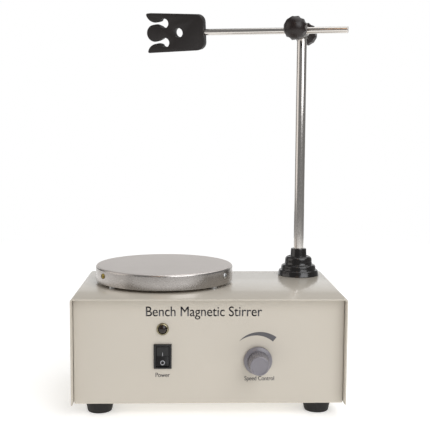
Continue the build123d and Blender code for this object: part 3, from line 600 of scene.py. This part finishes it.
    @staticmethod
    def copies(piece: bpy.types.Object, places: Iterable[Matrix]) -> bpy.types.Object:
        """Repeats a piece, each copy with its own mesh, and joins them all.

        Args:
            piece: The first one, modelled at the origin.
            places: Where each goes.

        Returns:
            One object with every copy; the first is used up.
        """
        made = []
        for place in places:
            twin = piece.copy()
            twin.data = piece.data.copy()
            bpy.context.scene.collection.objects.link(twin)
            twin.matrix_world = place
            made.append(Bench.done(twin))
        name = piece.name
        bpy.data.objects.remove(piece, do_unlink=True)
        Bench.clear()
        for twin in made:
            twin.select_set(True)
        bpy.context.view_layer.objects.active = made[0]
        if len(made) > 1:
            bpy.ops.object.join()
        made[0].name = name
        return made[0]


def dress(piece: bpy.types.Object, finish: Finish, body: str, *nodes: str,
          slot: Optional[str] = None) -> bpy.types.Object:
    """Gives a piece its finish and its body, and hides the CAD nodes that it stands for.

    Args:
        piece: The object.
        finish: What it is made of.
        body: The CAD body that it rides on.
        *nodes: CAD nodes that it replaces.
        slot: The record's material slot. Not used.

    Returns:
        The same object.
    """
    piece.data.materials.clear()
    piece.data.materials.append(finish.build())
    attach(piece, body)
    if nodes:
        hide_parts(*nodes)
    log.info("made %s on %s", piece.name, body)
    return piece


def arc(centre: tuple[float, float], radius: float, start: float, end: float,
        steps: int) -> Profile:
    """Finds points round an arc.

    Args:
        centre: Its centre.
        radius: Its radius.
        start: First angle, degrees.
        end: Last angle, degrees.
        steps: Number of spans.

    Returns:
        The points, both ends included.
    """
    angles = [math.radians(start + (end - start) * i / steps) for i in range(steps + 1)]
    return [(centre[0] + radius * math.cos(a), centre[1] + radius * math.sin(a)) for a in angles]


# ------------------------------------------------------------------ housing
@dataclass
class Housing:
    """The bent cover and the four feet. Sizes are millimetres."""

    sheet: float = 1.2
    bend: float = 2.4
    edge: float = 0.25
    foot_recess: float = 5.0
    foot_recess_depth: float = 6.5
    foot_taper: float = 1.8
    foot_hole: float = 2.1

    def build(self) -> None:
        """Makes and dresses every piece of the housing."""
        self._cover()
        for node in sorted(frame["nodes"]):
            if node.startswith("foot_") and node not in ("foot_screws", "foot_nuts"):
                self._foot(node)

    def _shell(self, name: str, node: str, open_sides: tuple[Vector, ...],
               bent: Vector) -> bpy.types.Object:
        """Folds a sheet into a U that fills a CAD node's box.

        Args:
            name: The piece's name.
            node: The CAD node.
            open_sides: Outward normals of the faces that are left open.
            bent: Direction of the fold lines.

        Returns:
            The folded sheet, with rounded folds and rims.
        """
        low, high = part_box(node)
        Bench.clear()
        bpy.ops.mesh.primitive_cube_add(size=1.0, location=(low + high) / 2)
        piece = bpy.context.object
        piece.name = name
        piece.dimensions = high - low
        Bench.done(piece)
        Bench.choose(piece, "FACE", [any(face.normal.dot(side) > 0.9 for side in open_sides)
                                     for face in piece.data.polygons])
        bpy.ops.mesh.delete(type="FACE")
        Bench.clear()
        uses = [key for face in piece.data.polygons for key in face.edge_keys]
        folds = []
        for edge in piece.data.edges:
            ends = [piece.data.vertices[v].co for v in edge.vertices]
            along = (ends[1] - ends[0]).normalized()
            folds.append(uses.count(edge.key) == 2 and abs(along.dot(bent)) > 0.9)
        Bench.choose(piece, "EDGE", folds)
        bpy.ops.mesh.bevel(offset=self.bend * MM, offset_type="OFFSET", segments=8, affect="EDGES")
        bpy.ops.object.mode_set(mode="OBJECT")
        Bench.modifier(piece, "SOLIDIFY", thickness=self.sheet * MM, offset=-1.0,
                       use_even_offset=True)
        Bench.soften(piece, self.edge, 2, 60.0)
        return piece

    def _cover(self) -> None:
        """The inverted U over the top and both sides."""
        piece = self._shell("cover_shell", "cover", (FRONT, -FRONT, -UP), FRONT)
        dress(piece, POWDER_COAT, "root", "cover", slot="cream_paint")

    def _foot(self, node: str) -> None:
        """One tapered rubber foot.

        Args:
            node: The CAD node that it stands for.
        """
        seat, top, height = standing(node)
        bottom = top - self.foot_taper
        recess, depth, hole = self.foot_recess, self.foot_recess_depth, self.foot_hole
        profile = [(recess, depth), (recess, 0.3), (recess + 0.3, 0.0), (bottom - 1.4, 0.0),
                   (bottom - 0.5, 0.3), (bottom - 0.05, 1.1), (top - 0.15, height - 1.2),
                   (top, height - 0.5), (top - 0.2, height - 0.1), (top - 0.6, height),
                   (hole, height), (hole, depth), (recess, depth)]
        piece = Bench.turned(node + "_rubber", seat, profile, 64)
        Bench.smooth(piece, 35)
        dress(piece, RUBBER, "root", node, slot="black_rubber")


# ------------------------------------------------------------------ stirring plate
@dataclass
class StirringPlate:
    """The turned aluminium cap with its skirt, and the screws round it. Millimetres."""

    edge: float = 2.0
    top: float = 2.0
    skirt: float = 1.5
    screw_head: float = 2.4
    screw_rise: float = 1.4
    screw_shank: float = 1.45
    screw_depth: float = 3.0
    recess_width: float = 0.75
    recess_depth: float = 1.1
    screws: tuple[tuple[str, float, Finish], ...] = (
        ("left", -57.5, YELLOW_ZINC), ("right", 60.0, ZINC_PLATE), ("rear", 180.0, ZINC_PLATE))

    def build(self) -> None:
        """Makes and dresses the cap in two finishes, and the screws."""
        seat, radius, height = standing("plate_cap")
        inner = radius - self.skirt
        rim = arc((radius - self.edge, height - self.edge), self.edge, 90, 0, 8)
        profile = [(0, height), (radius - self.edge - 0.9, height), *rim, (radius, 0.25),
                   (radius - 0.25, 0.0), (inner + 0.2, 0.0), (inner, 0.2),
                   (inner, height - self.top), (0, height - self.top)]
        cap = Bench.turned("stirring_plate", seat, profile, 192)
        Bench.smooth(cap, 25)
        dress(cap, BLASTED_ALUMINIUM, "root", "plate_cap", slot="brushed_plate")
        cap.data.materials.append(BRUSHED_ALUMINIUM.build())
        border = seat.origin.z + (height - 0.35 * self.edge) * MM
        for face in cap.data.polygons:
            face.material_index = int(face.center.z < border)
        heights = [v.co.z for v in frame["nodes"]["plate_screws"].data.vertices]
        level = (min(heights) + max(heights)) / 2
        for name, angle, finish in self.screws:
            turn = math.radians(angle)
            out = Vector((math.sin(turn), -math.cos(turn), 0))
            place = Vector((PLATE_MIDDLE.x, PLATE_MIDDLE.y, level)) + out * radius * MM
            self._screw(name, Seat(place, UP.cross(out), out), finish)

    def _screw(self, name: str, seat: Seat, finish: Finish) -> None:
        """One pan head with a cross recess.

        Args:
            name: Which one it is.
            seat: Its place on the skirt.
            finish: Its plating.
        """
        head, rise, shank = self.screw_head, self.screw_rise, self.screw_shank
        profile = [(0, rise), (head * 0.45, rise), (head * 0.8, rise * 0.8),
                   (head * 0.97, rise * 0.42), (head, 0.05), (head - 0.05, 0), (shank, 0),
                   (shank, -self.screw_depth), (0, -self.screw_depth)]
        screw = Bench.turned("plate_screw_" + name, seat, profile, 40)
        long, short = head * 1.15, self.recess_width
        for width, height in ((short, long), (long, short)):
            recess = Bench.bar("recess", seat, width, height, self.recess_depth + 0.3,
                               rise - self.recess_depth)
            Bench.carve(screw, recess)
        Bench.smooth(screw, 35)
        nodes = ("plate_screws",) if name == "right" else ()
        dress(screw, finish, "root", *nodes, slot="zinc_steel")


# ------------------------------------------------------------------ front panel
@dataclass(frozen=True)
class Words:
    """A word or two printed on the panel. Sizes are millimetres.

    Args:
        name: The piece's name.
        text: What it says.
        width: Its width.
        capitals: Height of its capitals.
        right: Its middle, to the right of the seat that it is given.
        up: The middle of its capitals, above that seat.
        bold: How far its two passes of ink are shifted each way.
    """

    name: str
    text: str
    width: float
    capitals: float
    right: float
    up: float
    bold: float


@dataclass
class FrontPanel:
    """Lamp, switch, speed knob and the printing on the recessed panel. Millimetres."""

    print_depth: float = 0.06
    title: Words = Words("title_print", "Bench Magnetic Stirrer", 97.0, 8.3, -4.4, 79.7, 0.13)
    power: Words = Words("power_print", "Power", 12.0, 3.7, 0.0, -16.0, 0.09)
    speed: Words = Words("speed_print", "Speed Control", 25.0, 3.7, 1.4, -15.4, 0.09)
    lamp_bore: float = 3.7
    lamp_depth: float = 16.0
    window: tuple[float, float] = (11.2, 17.8)
    rocker_swing: float = 9.0
    rocker_pivot: float = 1.6
    rocker_width: float = 10.4
    rocker_half: float = 8.1
    rocker_low: float = 3.5
    rocker_rise: float = 1.28
    grip_radius: float = 9.3
    face_radius: float = 8.0
    flutes: int = 26
    flute: Profile = field(default_factory=lambda: [(0.0, 0.0), (0.30, 0.0), (0.42, 0.42),
                                                    (0.65, 0.62), (0.88, 0.42)])
    arc_radius: float = 22.8
    arc_start: float = 134.0
    arc_sweep: float = -82.0
    arc_half: float = 2.45

    def __post_init__(self) -> None:
        """Finds the panel and the places of its controls from the frame."""
        low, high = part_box("chassis")
        self.panel = Seat(Vector(((low.x + high.x) / 2, low.y, low.z)), RIGHT, FRONT)
        self.switch = self._on_panel(middle("switch_frame"))
        self.lamp = self._on_panel(middle("indicator_bezel"))
        self.knob = self._on_panel(middle("speed_knob"))

    def _on_panel(self, point: Vector) -> Seat:
        """Makes a seat on the panel's face, level with a point in front or behind."""
        return Seat(Vector((point.x, self.panel.origin.y, point.z)), RIGHT, FRONT)

    def build(self) -> None:
        """Makes and dresses every piece of the panel."""
        self._lamp()
        self._switch()
        self._knob()
        self._printing()

    def _lamp(self) -> None:
        """A ring with a domed lens in it."""
        low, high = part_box("indicator_bezel")
        radius = (high.x - low.x) / 2 / MM
        bore, tail = self.lamp_bore, -self.lamp_depth
        profile = [(bore, 1.1), (bore + 0.25, 1.6), (radius - 1.2, 1.8), (radius - 0.5, 1.45),
                   (radius - 0.1, 0.8), (radius, 0.2), (radius, 0.0), (bore + 0.3, 0.0),
                   (bore + 0.3, tail + 0.2), (bore + 0.1, tail), (bore, tail), (bore, 1.1)]
        ring = Bench.turned("lamp_ring", self.lamp, profile, 72)
        Bench.smooth(ring, 35)
        dress(ring, NICKEL_RING, "root", "indicator_bezel", slot="chrome_ring")
        dome = arc((0.0, -2.17), 5.07, 90, 45.2, 10)
        profile = [(max(r, 0.0), h) for r, h in (*dome, (bore - 0.12, -6.0), (0.0, -6.0))]
        lens = Bench.turned("lamp_lens", self.lamp, profile, 48)
        Bench.smooth(lens, 35)
        dress(lens, AMBER_LENS, "root", "indicator_lens", slot="amber_lens")

    def _switch(self) -> None:
        """The switch's frame, its rocker in the on position and its two marks."""
        low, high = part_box("switch_frame")
        width, height = (high.x - low.x) / MM, (high.z - low.z) / MM
        shell = Bench.bar("switch_frame_shell", self.switch, width, height, 1.7)
        Bench.soften(shell, 0.55, 4, 60)
        body = Bench.bar("switch_body", self.switch, width - 2, height - 2, -13.0, 0.01)
        Bench.carve(shell, body, "UNION")
        window = Bench.bar("window", self.switch, *self.window, -9.8, 1.8)
        Bench.carve(shell, window)
        Bench.soften(shell, 0.15, 2, 50)
        dress(shell, SWITCH_NYLON, "root", "switch_frame", slot="switch_black")

        swing = math.radians(self.rocker_swing)
        out = (FRONT * math.cos(swing) + UP * math.sin(swing)).normalized()
        tipped = Seat(self.switch.at(out=-self.rocker_pivot), RIGHT, out)
        side = Seat(tipped.at(right=-self.rocker_width / 2), out, RIGHT)
        half = self.rocker_half
        shares = (0.0, 0.08, 0.25, 0.5, 0.75, 1.0)
        valley = [(self._rocker_face(half * t), half * t)
                  for t in (*(-share for share in shares[:0:-1]), *shares)]
        outline = [*valley, (-2.0, half), (-4.6, 0.0), (-2.0, -half)]
        rocker = Bench.cut_out("switch_rocker_cap", side, [(a, -b) for a, b in outline],
                               self.rocker_width)
        Bench.soften(rocker, 0.3, 3, 40)
        dress(rocker, SWITCH_NYLON, "rocker", "switch_rocker", slot="switch_black")

        sunk = -0.12
        stroke = Bench.bar("mark_on", self._on_rocker(tipped, 1.5), 0.42, 2.9, 0.22, sunk)
        Bench.soften(stroke, 0.05, 1)
        dress(stroke, WHITE_INK, "rocker", slot="nylon_white")
        outline = [(1.3, sunk), (1.9, sunk), (1.9, 0.1), (1.3, 0.1), (1.3, sunk)]
        ring = Bench.turned("mark_off", self._on_rocker(tipped, -5.4), outline, 40)
        dress(ring, WHITE_INK, "rocker", slot="nylon_white")

    def _rocker_face(self, up: float) -> float:
        """Finds how far the rocker's face stands out from its pivot at a height on it."""
        return self.rocker_low + self.rocker_rise * (abs(up) / self.rocker_half) ** 1.15

    def _on_rocker(self, tipped: Seat, up: float) -> Seat:
        """Finds a place on the rocker's face.

        Args:
            tipped: The rocker's pivot, turned as it lies.
            up: Height over the rocker's middle, millimetres.

        Returns:
            A seat that lies along the face there.
        """
        slope = math.copysign(math.atan(self.rocker_rise / self.rocker_half), up)
        tilt = Matrix.Rotation(slope, 3, RIGHT)
        return Seat(tipped.at(up=up, out=self._rocker_face(up)), RIGHT, tilt @ tipped.out)

    def _knob(self) -> None:
        """The skirted speed knob, with a fluted grip."""
        low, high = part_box("speed_knob")
        skirt, length = (high.x - low.x) / 2 / MM, (high.y - low.y) / MM
        seat = self.knob.moved(out=(self.panel.origin.y - high.y) / MM)
        grip, face, waist = self.grip_radius, self.face_radius, self.grip_radius - 0.8
        profile = [(0, 4.6), (waist, 4.6), (waist, 3.6), (grip + 0.2, 3.5),
                   (grip + 0.8, 3.1), (skirt - 1.2, 2.7), (skirt - 0.4, 2.3),
                   (skirt, 1.5), (skirt, 0.25), (skirt - 0.25, 0), (8.0, 0), (8.0, 2.0),
                   (3.0, 2.0), (3.0, 4.0), (0, 4.0)]
        flange = Bench.turned("speed_knob_skirt", seat, profile, 144)
        Bench.smooth(flange, 32)
        dress(flange, GREY_ABS, "speed_knob", "speed_knob", slot="grey_knob")
        profile = [(0, 3.2), (grip, 3.2), (face + 0.25, length - 1.1),
                   (face - 0.1, length - 0.35), (face - 0.8, length), (face - 1.3, length - 0.1),
                   (face - 1.7, length - 0.45), (0, length - 0.45)]
        cap = Bench.turned("speed_knob_grip", seat, profile, 144)
        outline = []
        for index in range(self.flutes):
            for share, depth in self.flute:
                angle = math.tau * (index + share) / self.flutes
                reach = grip + 0.05 - depth
                outline.append((reach * math.cos(angle), reach * math.sin(angle)))
        mould = Bench.cut_out("mould", seat.moved(out=3.0), outline, length - 2.4,
                              (face + 0.3) / grip)
        Bench.carve(cap, mould, "INTERSECT")
        Bench.soften(cap, 0.08, 2, 28)
        dress(cap, GREY_ABS, "speed_knob", slot="grey_knob")

    def _printing(self) -> None:
        """Printed words, and the tapered arc over the knob."""
        self._print(self.title, self.panel)
        self._print(self.power, self.switch)
        self._print(self.speed, self.knob)
        spans = 36
        outer, inner = [], []
        for index in range(spans + 1):
            share = index / spans
            angle = math.radians(self.arc_start + self.arc_sweep * share)
            half = self.arc_half * share ** 0.8
            for edge, radius in ((outer, self.arc_radius + half), (inner, self.arc_radius - half)):
                edge.append((radius * math.cos(angle), radius * math.sin(angle)))
        band = Bench.cut_out("speed_arc_print", self.knob, outer + inner[:0:-1], self.print_depth)
        Bench.smooth(band, 30)
        dress(band, PRINT_INK, "root", slot="cream_paint")

    def _print(self, words: Words, seat: Seat) -> None:
        """Prints a word or two in two passes, so that the strokes are bold.

        Args:
            words: What is printed, and how large.
            seat: What it is placed from.
        """
        Bench.clear()
        bpy.ops.object.text_add()
        piece = bpy.context.object
        piece.name = words.name
        piece.data.body = words.text
        piece.data.size = 1.0
        piece.data.extrude = self.print_depth * MM / 2
        bpy.ops.object.convert(target="MESH")
        piece = bpy.context.object
        across = [corner[0] for corner in piece.bound_box]
        top = max(corner[1] for corner in piece.bound_box)
        left, right = min(across), max(across)
        scale = Vector((words.width * MM / (right - left), words.capitals * MM / top, 1.0, 1.0))
        place = seat.moved(words.right, words.up - words.capitals / 2)
        centring = Matrix.Translation((-(right + left) / 2, 0, 0))
        piece.matrix_world = place.matrix() @ Matrix.Diagonal(scale) @ centring
        Bench.done(piece)
        bpy.ops.object.mode_set(mode="EDIT")
        Bench.settle()
        Bench.clear()
        passes = [Matrix.Translation(seat.right * side * words.bold * MM) for side in (-1, 1)]
        piece = Bench.copies(piece, passes)
        dress(piece, PRINT_INK, "root", slot="cream_paint")


# ------------------------------------------------------------------ rod stand
@dataclass(frozen=True)
class ClipShape:
    """Outline of the probe clip, from its root towards its tip. Sizes are millimetres.

    Args:
        thickness: Front to back.
        lean: How far its top leans to the front, degrees.
        length: Root to tip.
        root_half: Half its height at the root.
        tip_half: Half its height at the tip.
        corner: Radius of the root's corners.
        hole: Place and radius of the round hole.
        seat: Place of a probe seat, along and across.
        seat_radius: Its radius.
        mouth_half: Half the opening of a seat towards its slot.
        head: Place and radius of the round head between the slots.
        finger: Centre of a finger's inner curve, along and across.
        finger_radius: Its radius.
        bore_depth: Depth of the cross rod's socket.
    """

    thickness: float = 9.0
    lean: float = 11.0
    length: float = 59.0
    root_half: float = 17.1
    tip_half: float = 19.2
    corner: float = 7.5
    hole: tuple[float, float] = (26.1, 4.65)
    seat: tuple[float, float] = (40.7, 9.25)
    seat_radius: float = 4.75
    mouth_half: float = 3.0
    head: tuple[float, float] = (50.8, 8.3)
    finger: tuple[float, float] = (49.2, 20.4)
    finger_radius: float = 10.2
    bore_depth: float = 16.5

    def outline(self) -> Profile:
        """Draws the whole outline, its tip towards the left.

        Returns:
            Points in order round it.
        """
        mouth_x = self.seat[0] + math.sqrt(self.seat_radius ** 2 - self.mouth_half ** 2)
        reach = self.length - self.finger[0]
        drop = math.sqrt(self.finger_radius ** 2 - reach ** 2)
        tip_angle = math.degrees(math.atan2(-drop, reach))
        lean_in = math.asin((mouth_x - self.finger[0]) / self.finger_radius)
        opening = math.degrees(math.atan2(self.mouth_half, mouth_x - self.seat[0]))
        half = arc((self.corner, self.root_half - self.corner), self.corner, 180, 91, 10)
        half += [(self.length - 1.6, self.tip_half), (self.length - 0.7, self.tip_half - 0.2),
                 (self.length - 0.2, self.tip_half - 0.7)]
        half += arc(self.finger, self.finger_radius, tip_angle, math.degrees(lean_in) - 90, 14)
        half += arc(self.seat, self.seat_radius, opening, 360 - opening, 28)
        half += arc((self.head[0], 0.0), self.head[1], 120, 0, 16)
        lower = [(x, -y) for x, y in half[-2::-1]]
        return [(-x, y) for x, y in half + lower]


@dataclass
class RodStand:
    """The stepped base, the chromed rods, the clamp, its ball knobs and the clip. Millimetres."""

    rod_radius: float = 4.75
    rod_edge: float = 0.8
    cross_radius: float = 3.0
    cross_edge: float = 0.4
    fit: float = 0.06
    base_radius: float = 19.8
    socket_floor: float = 10.0
    clamp_radius: float = 7.2
    clamp_rear: float = 7.0
    clamp_front: float = 18.0
    clamp_edge: float = 0.8
    clamp_bore: float = 2.95
    cross_offset: float = 10.5
    neck: float = 1.6
    ball_radius: float = 11.1
    ball_lift: float = 0.82
    lobes: int = 12
    lobe_cut: float = 1.15
    clip: ClipShape = ClipShape()

    def __post_init__(self) -> None:
        """Finds the arm's axes and places from the joints."""
        self.along = Vector(joint("cross_rod_slide")["axis"]).normalized()
        self.front = Vector(joint("front_knob_turn")["axis"]).normalized()
        face = Vector(joint("front_knob_turn")["pos_m"])
        self.axis = Seat(face - self.front * self.clamp_front * MM, self.along, self.front)

    def build(self) -> None:
        """Makes and dresses every piece of the stand."""
        self._base()
        self._support_rod()
        self._clamp()
        for side in (1, -1):
            self._ball_knob(side)
        self._cross_rod()
        self._clip()

    def _base(self) -> None:
        """The stepped base, pressed in one piece."""
        seat, radius, height = standing("rod_base")
        bore, floor = self.rod_radius + 0.08, self.socket_floor
        inside = [(0.0, floor), (bore, floor), (bore, height - 0.3), (bore + 0.3, height)]
        steps = [(7.0, height), (7.35, height - 0.15), (7.45, height - 0.55), (7.75, 19.2),
                 (7.9, 18.5), (8.3, 18.2), (10.0, 18.05), *arc((10.0, 15.5), 2.9, 86, 8, 7),
                 (13.05, 13.6), (13.2, 11.2), (13.5, 10.75), (14.1, 10.5), (14.7, 10.4),
                 *arc((14.6, 8.3), 2.0, 85, 8, 7), (16.75, 6.2), (17.0, 5.6), (17.4, 5.4),
                 *arc((17.8, 4.2), 1.2, 90, 8, 6), (19.5, 1.0), (19.8, 0.5), (19.7, 0.1),
                 (19.4, 0.0), (0.0, 0.0)]
        share = radius / self.base_radius
        profile = inside + [(r * share, h) for r, h in steps]
        base = Bench.turned("rod_base_moulding", seat, profile, 128)
        Bench.smooth(base, 38)
        dress(base, BAKELITE, "root", "rod_base", slot="black_bakelite")

    def _support_rod(self) -> None:
        """The upright, with a rounded top edge."""
        seat, _, length = standing("support_rod")
        radius, edge = self.rod_radius, self.rod_edge
        top = arc((radius - edge, length - edge), edge, 0, 90, 5)
        rod = Bench.turned("support_rod_bar", seat, [(0, 0), (radius, 0), *top, (0, length)], 72)
        Bench.smooth(rod, 35)
        dress(rod, CHROMED_BAR, "support_rod", "support_rod", slot="chromed_rod")

    def _clamp(self) -> None:
        """The clamp body: a round block with two crossed holes."""
        rear, front = -self.clamp_rear, self.clamp_front
        edge, bore = self.clamp_edge, self.clamp_bore
        inner = self.clamp_radius - edge
        profile = [(bore, rear), (inner, rear), *arc((inner, rear + edge), edge, -80, -5, 5),
                   *arc((inner, front - edge), edge, 5, 80, 5), (bore, front), (bore, rear)]
        body = Bench.turned("clamp_block", self.axis, profile, 96)
        upright = Seat(self.axis.at(), RIGHT, UP)
        cross = Seat(self.axis.at(out=self.cross_offset), self.front, self.along)
        for seat, radius in ((upright, self.rod_radius), (cross, self.cross_radius)):
            Bench.carve(body, self._drill(seat, radius + self.fit, -30, 30))
        Bench.soften(body, 0.3, 2, 45)
        dress(body, POLISHED_CASTING, "clamp", "clamp_body", slot="polished_clamp")

    @staticmethod
    def _drill(seat: Seat, radius: float, start: float, end: float,
               steps: int = 64) -> bpy.types.Object:
        """Makes a round cutter along a seat's axis, from its start to its end."""
        profile = [(0, start), (radius, start), (radius, end), (0, end)]
        return Bench.turned("drill", seat, profile, steps)

    def _ball_knob(self, side: int) -> None:
        """A ball knob with a ring of shallow flutes.

        Args:
            side: 1 for the front one, -1 for the rear one.
        """
        name = "front" if side > 0 else "rear"
        reach = (self.clamp_front if side > 0 else self.clamp_rear) + self.neck
        seat = Seat(self.axis.at(out=side * reach), self.along * side, self.front * side)
        radius = self.ball_radius
        centre = self.ball_lift * radius
        low = math.degrees(math.asin((4.2 - centre) / radius))
        ball = arc((0, centre), radius, low, 90, 22)
        profile = [(0, 0), (5.7, 0), (6.0, 0.3), (6.0, 2.3), (6.5, 2.9), *ball[:-1],
                   (0.0, ball[-1][1])]
        knob = Bench.turned("ball_knob_" + name, seat, profile, 144)
        half = math.pi / self.lobes
        chord = radius * math.sin(half)
        sag = self.lobe_cut - radius * (1 - math.cos(half))
        hollow = (chord ** 2 + sag ** 2) / (2 * sag)
        spread = math.degrees(math.asin(chord / hollow))
        scoop = arc((radius - self.lobe_cut + hollow, 0.0), hollow, 180 + spread, 180 - spread, 8)
        outline = []
        for index in range(self.lobes):
            turn = Matrix.Rotation(2 * half * index, 2)
            outline += [tuple(turn @ Vector(point)) for point in scoop[:-1]]
        mould = Bench.cut_out("mould", seat.moved(out=-2.0), outline, 3 * radius)
        Bench.carve(knob, mould, "INTERSECT")
        Bench.smooth(knob, 24)
        dress(knob, WORN_BAKELITE, name + "_knob", name + "_clamp_knob", slot="black_bakelite")

    def _cross_rod(self) -> None:
        """The thin rod, with eased ends."""
        reach = [(v.co - self.axis.origin).dot(self.along) / MM
                 for v in frame["nodes"]["cross_rod"].data.vertices]
        start, length = min(reach), max(reach) - min(reach)
        seat = Seat(self.axis.at(right=start, out=self.cross_offset), self.front, self.along)
        radius, edge = self.cross_radius, self.cross_edge
        profile = [(0, 0), (radius - edge, 0), (radius, edge), (radius, length - edge),
                   (radius - edge, length), (0, length)]
        rod = Bench.turned("cross_rod_bar", seat, profile, 56)
        Bench.soften(rod, 0.12, 2, 30)
        dress(rod, CHROMED_BAR, "cross_rod", "cross_rod", slot="chromed_rod")

    def _clip(self) -> None:
        """The probe clip: two fingers, a round head between them and a hole."""
        lean = math.radians(self.clip.lean)
        level = self.front.cross(self.along)
        face = self.front * math.cos(lean) - level * math.sin(lean)
        root = Vector(joint("clip_roll")["pos_m"])
        back = Seat(root, self.along, face).moved(out=-self.clip.thickness / 2)
        clip = Bench.cut_out("probe_clip", back, self.clip.outline(), self.clip.thickness)
        hole_x, hole_radius = self.clip.hole
        Bench.carve(clip, self._drill(back.moved(right=-hole_x), hole_radius, -2, 12))
        socket = Seat(root + self.along * 0.5 * MM, self.front, -self.along)
        Bench.carve(clip, self._drill(socket, self.cross_radius + self.fit, 0,
                                      self.clip.bore_depth, 48))
        Bench.soften(clip, 0.35, 3, 42)
        dress(clip, SATIN_ABS, "clip", "clip", slot="clip_black")


# ------------------------------------------------------------------ CAD nodes
class KeptNodes:
    """The CAD's own nodes. The later classes replace some of them with their pieces."""

    @staticmethod
    def build() -> None:
        """Dresses every CAD node by its material slot."""
        slots = {entry["node"]: entry["material_slot"] for entry in frame["record"]["subparts"]}
        for name, node in frame["nodes"].items():
            node.data.materials.clear()
            node.data.materials.append(DRESS[slots[name]].build())
            log.info("dressed %s", name)


# ------------------------------------------------------------------ studio
@dataclass(frozen=True)
class Softbox:
    """A rectangular light that looks at the object.

    Args:
        name: Its name.
        azimuth: Degrees to the right of the front, seen from above.
        elevation: Degrees above the bench.
        distance: Metres from the object.
        size: Width and height, metres.
        power: Watts.
        colour: sRGB hex.
    """

    name: str
    azimuth: float
    elevation: float
    distance: float
    size: tuple[float, float]
    power: float
    colour: str = "#FFFFFF"

    def build(self, target: Vector) -> None:
        """Adds the light, turned to its target.

        Args:
            target: The point that it looks at, in metres.
        """
        bpy.ops.object.light_add(type="AREA")
        lamp = bpy.context.object
        lamp.name = self.name
        lamp.data.shape = "RECTANGLE"
        lamp.data.size, lamp.data.size_y = self.size
        lamp.data.energy = self.power
        lamp.data.color = linear(self.colour)[:3]
        turn, rise = math.radians(self.azimuth), math.radians(self.elevation)
        away = Vector((math.sin(turn) * math.cos(rise), -math.cos(turn) * math.cos(rise),
                       math.sin(rise)))
        lamp.location = target + away * self.distance
        lamp.rotation_euler = away.to_track_quat("Z", "Y").to_euler()
        lamp.visible_camera = False


@dataclass
class Studio:
    """Floor, lights, background and camera. Camera places are millimetres."""

    camera_right: float = -15.9
    camera_back: float = 715.8
    camera_height: float = 234.4
    yaw: float = 1.76
    pitch: float = 5.53
    roll: float = 0.34
    focal_share: float = 1.85  # lens length over sensor width
    sensor: float = 36.0
    aim_height: float = 120.0
    surround: float = 0.24
    table_glow: float = 0.46
    floor_radius: float = 1.15
    boxes: tuple[Softbox, ...] = (
        Softbox("key", 32, 33, 1.7, (1.25, 1.3), 14.6, "#FBFCFF"),
        Softbox("side_left", -88, 22, 1.9, (1.7, 1.6), 7.5, "#FFF9F4"),
        Softbox("overhead", 115, 72, 2.1, (2.2, 2.0), 19.0),
        Softbox("behind", 180, 9, 2.6, (4.2, 1.2), 11.0),
        Softbox("warm", -12, 37, 1.7, (0.3, 0.3), 0.6, "#FFCB9C"),
    )

    def build(self) -> None:
        """Adds everything that isn't part of the object."""
        bpy.context.scene.view_settings.view_transform = "Standard"
        self._floor()
        self._background()
        for softbox in self.boxes:
            softbox.build(UP * self.aim_height * MM)
        self._camera()

    def _floor(self) -> None:
        """A plain pale table, lit a little from inside as product tables are."""
        Bench.clear()
        bpy.ops.mesh.primitive_circle_add(vertices=128, radius=self.floor_radius, fill_type="NGON")
        floor = bpy.context.object
        floor.name = "floor"
        table = Finish("lit_white_table", "#F6F6F5", "#F2F2F1", 0.85, 0.05, cell=(1.5, 1.5, 1.5),
                       depth=0.01, cloud=300.0, glow=self.table_glow)
        floor.data.materials.append(table.build())

    def _background(self) -> None:
        """A white surround for the eye and a dim one for light and reflections."""
        world = bpy.data.worlds.new("surround")
        bpy.context.scene.world = world
        world.use_nodes = True
        tree = world.node_tree
        tree.nodes.clear()
        white = linear("#FFFFFF")
        seen, felt = (add_node(tree, "ShaderNodeBackground", {"Color": white, "Strength": power})
                      for power in (1.0, self.surround))
        path = add_node(tree, "ShaderNodeLightPath")
        mixed = add_node(tree, "ShaderNodeMixShader", None,
                         {0: path.outputs["Is Camera Ray"], 1: felt.outputs[0],
                          2: seen.outputs[0]})
        add_node(tree, "ShaderNodeOutputWorld", None, {"Surface": mixed.outputs[0]})

    def _camera(self) -> None:
        """A long lens in front of the housing, a little above it."""
        cover = middle("cover")
        bpy.ops.object.camera_add()
        camera = bpy.context.object
        camera.name = "camera"
        camera.data.sensor_width = self.sensor
        camera.data.lens = self.sensor * self.focal_share
        camera.data.clip_end = 100.0
        turn, drop = math.radians(self.yaw), math.radians(self.pitch)
        look = Vector((math.sin(turn) * math.cos(drop), math.cos(turn) * math.cos(drop),
                       -math.sin(drop)))
        right = look.cross(UP).normalized()
        above = right.cross(look)
        lean = math.radians(self.roll)
        right_leant = right * math.cos(lean) + above * math.sin(lean)
        above_leant = above * math.cos(lean) - right * math.sin(lean)
        turned = Matrix((right_leant, above_leant, -look)).transposed().to_4x4()
        spot = Vector((cover.x + self.camera_right * MM, cover.y - self.camera_back * MM,
                       self.camera_height * MM))
        camera.matrix_world = Matrix.Translation(spot) @ turned
        bpy.context.scene.camera = camera


def main() -> None:
    """Builds the studio, then the object."""
    logging.basicConfig(level=logging.INFO, format="%(name)s: %(message)s")
    Studio().build()
    KeptNodes.build()
    Housing().build()
    StirringPlate().build()
    FrontPanel().build()
    RodStand().build()
    Bench.clear()


if __name__ == "__main__":
    main()
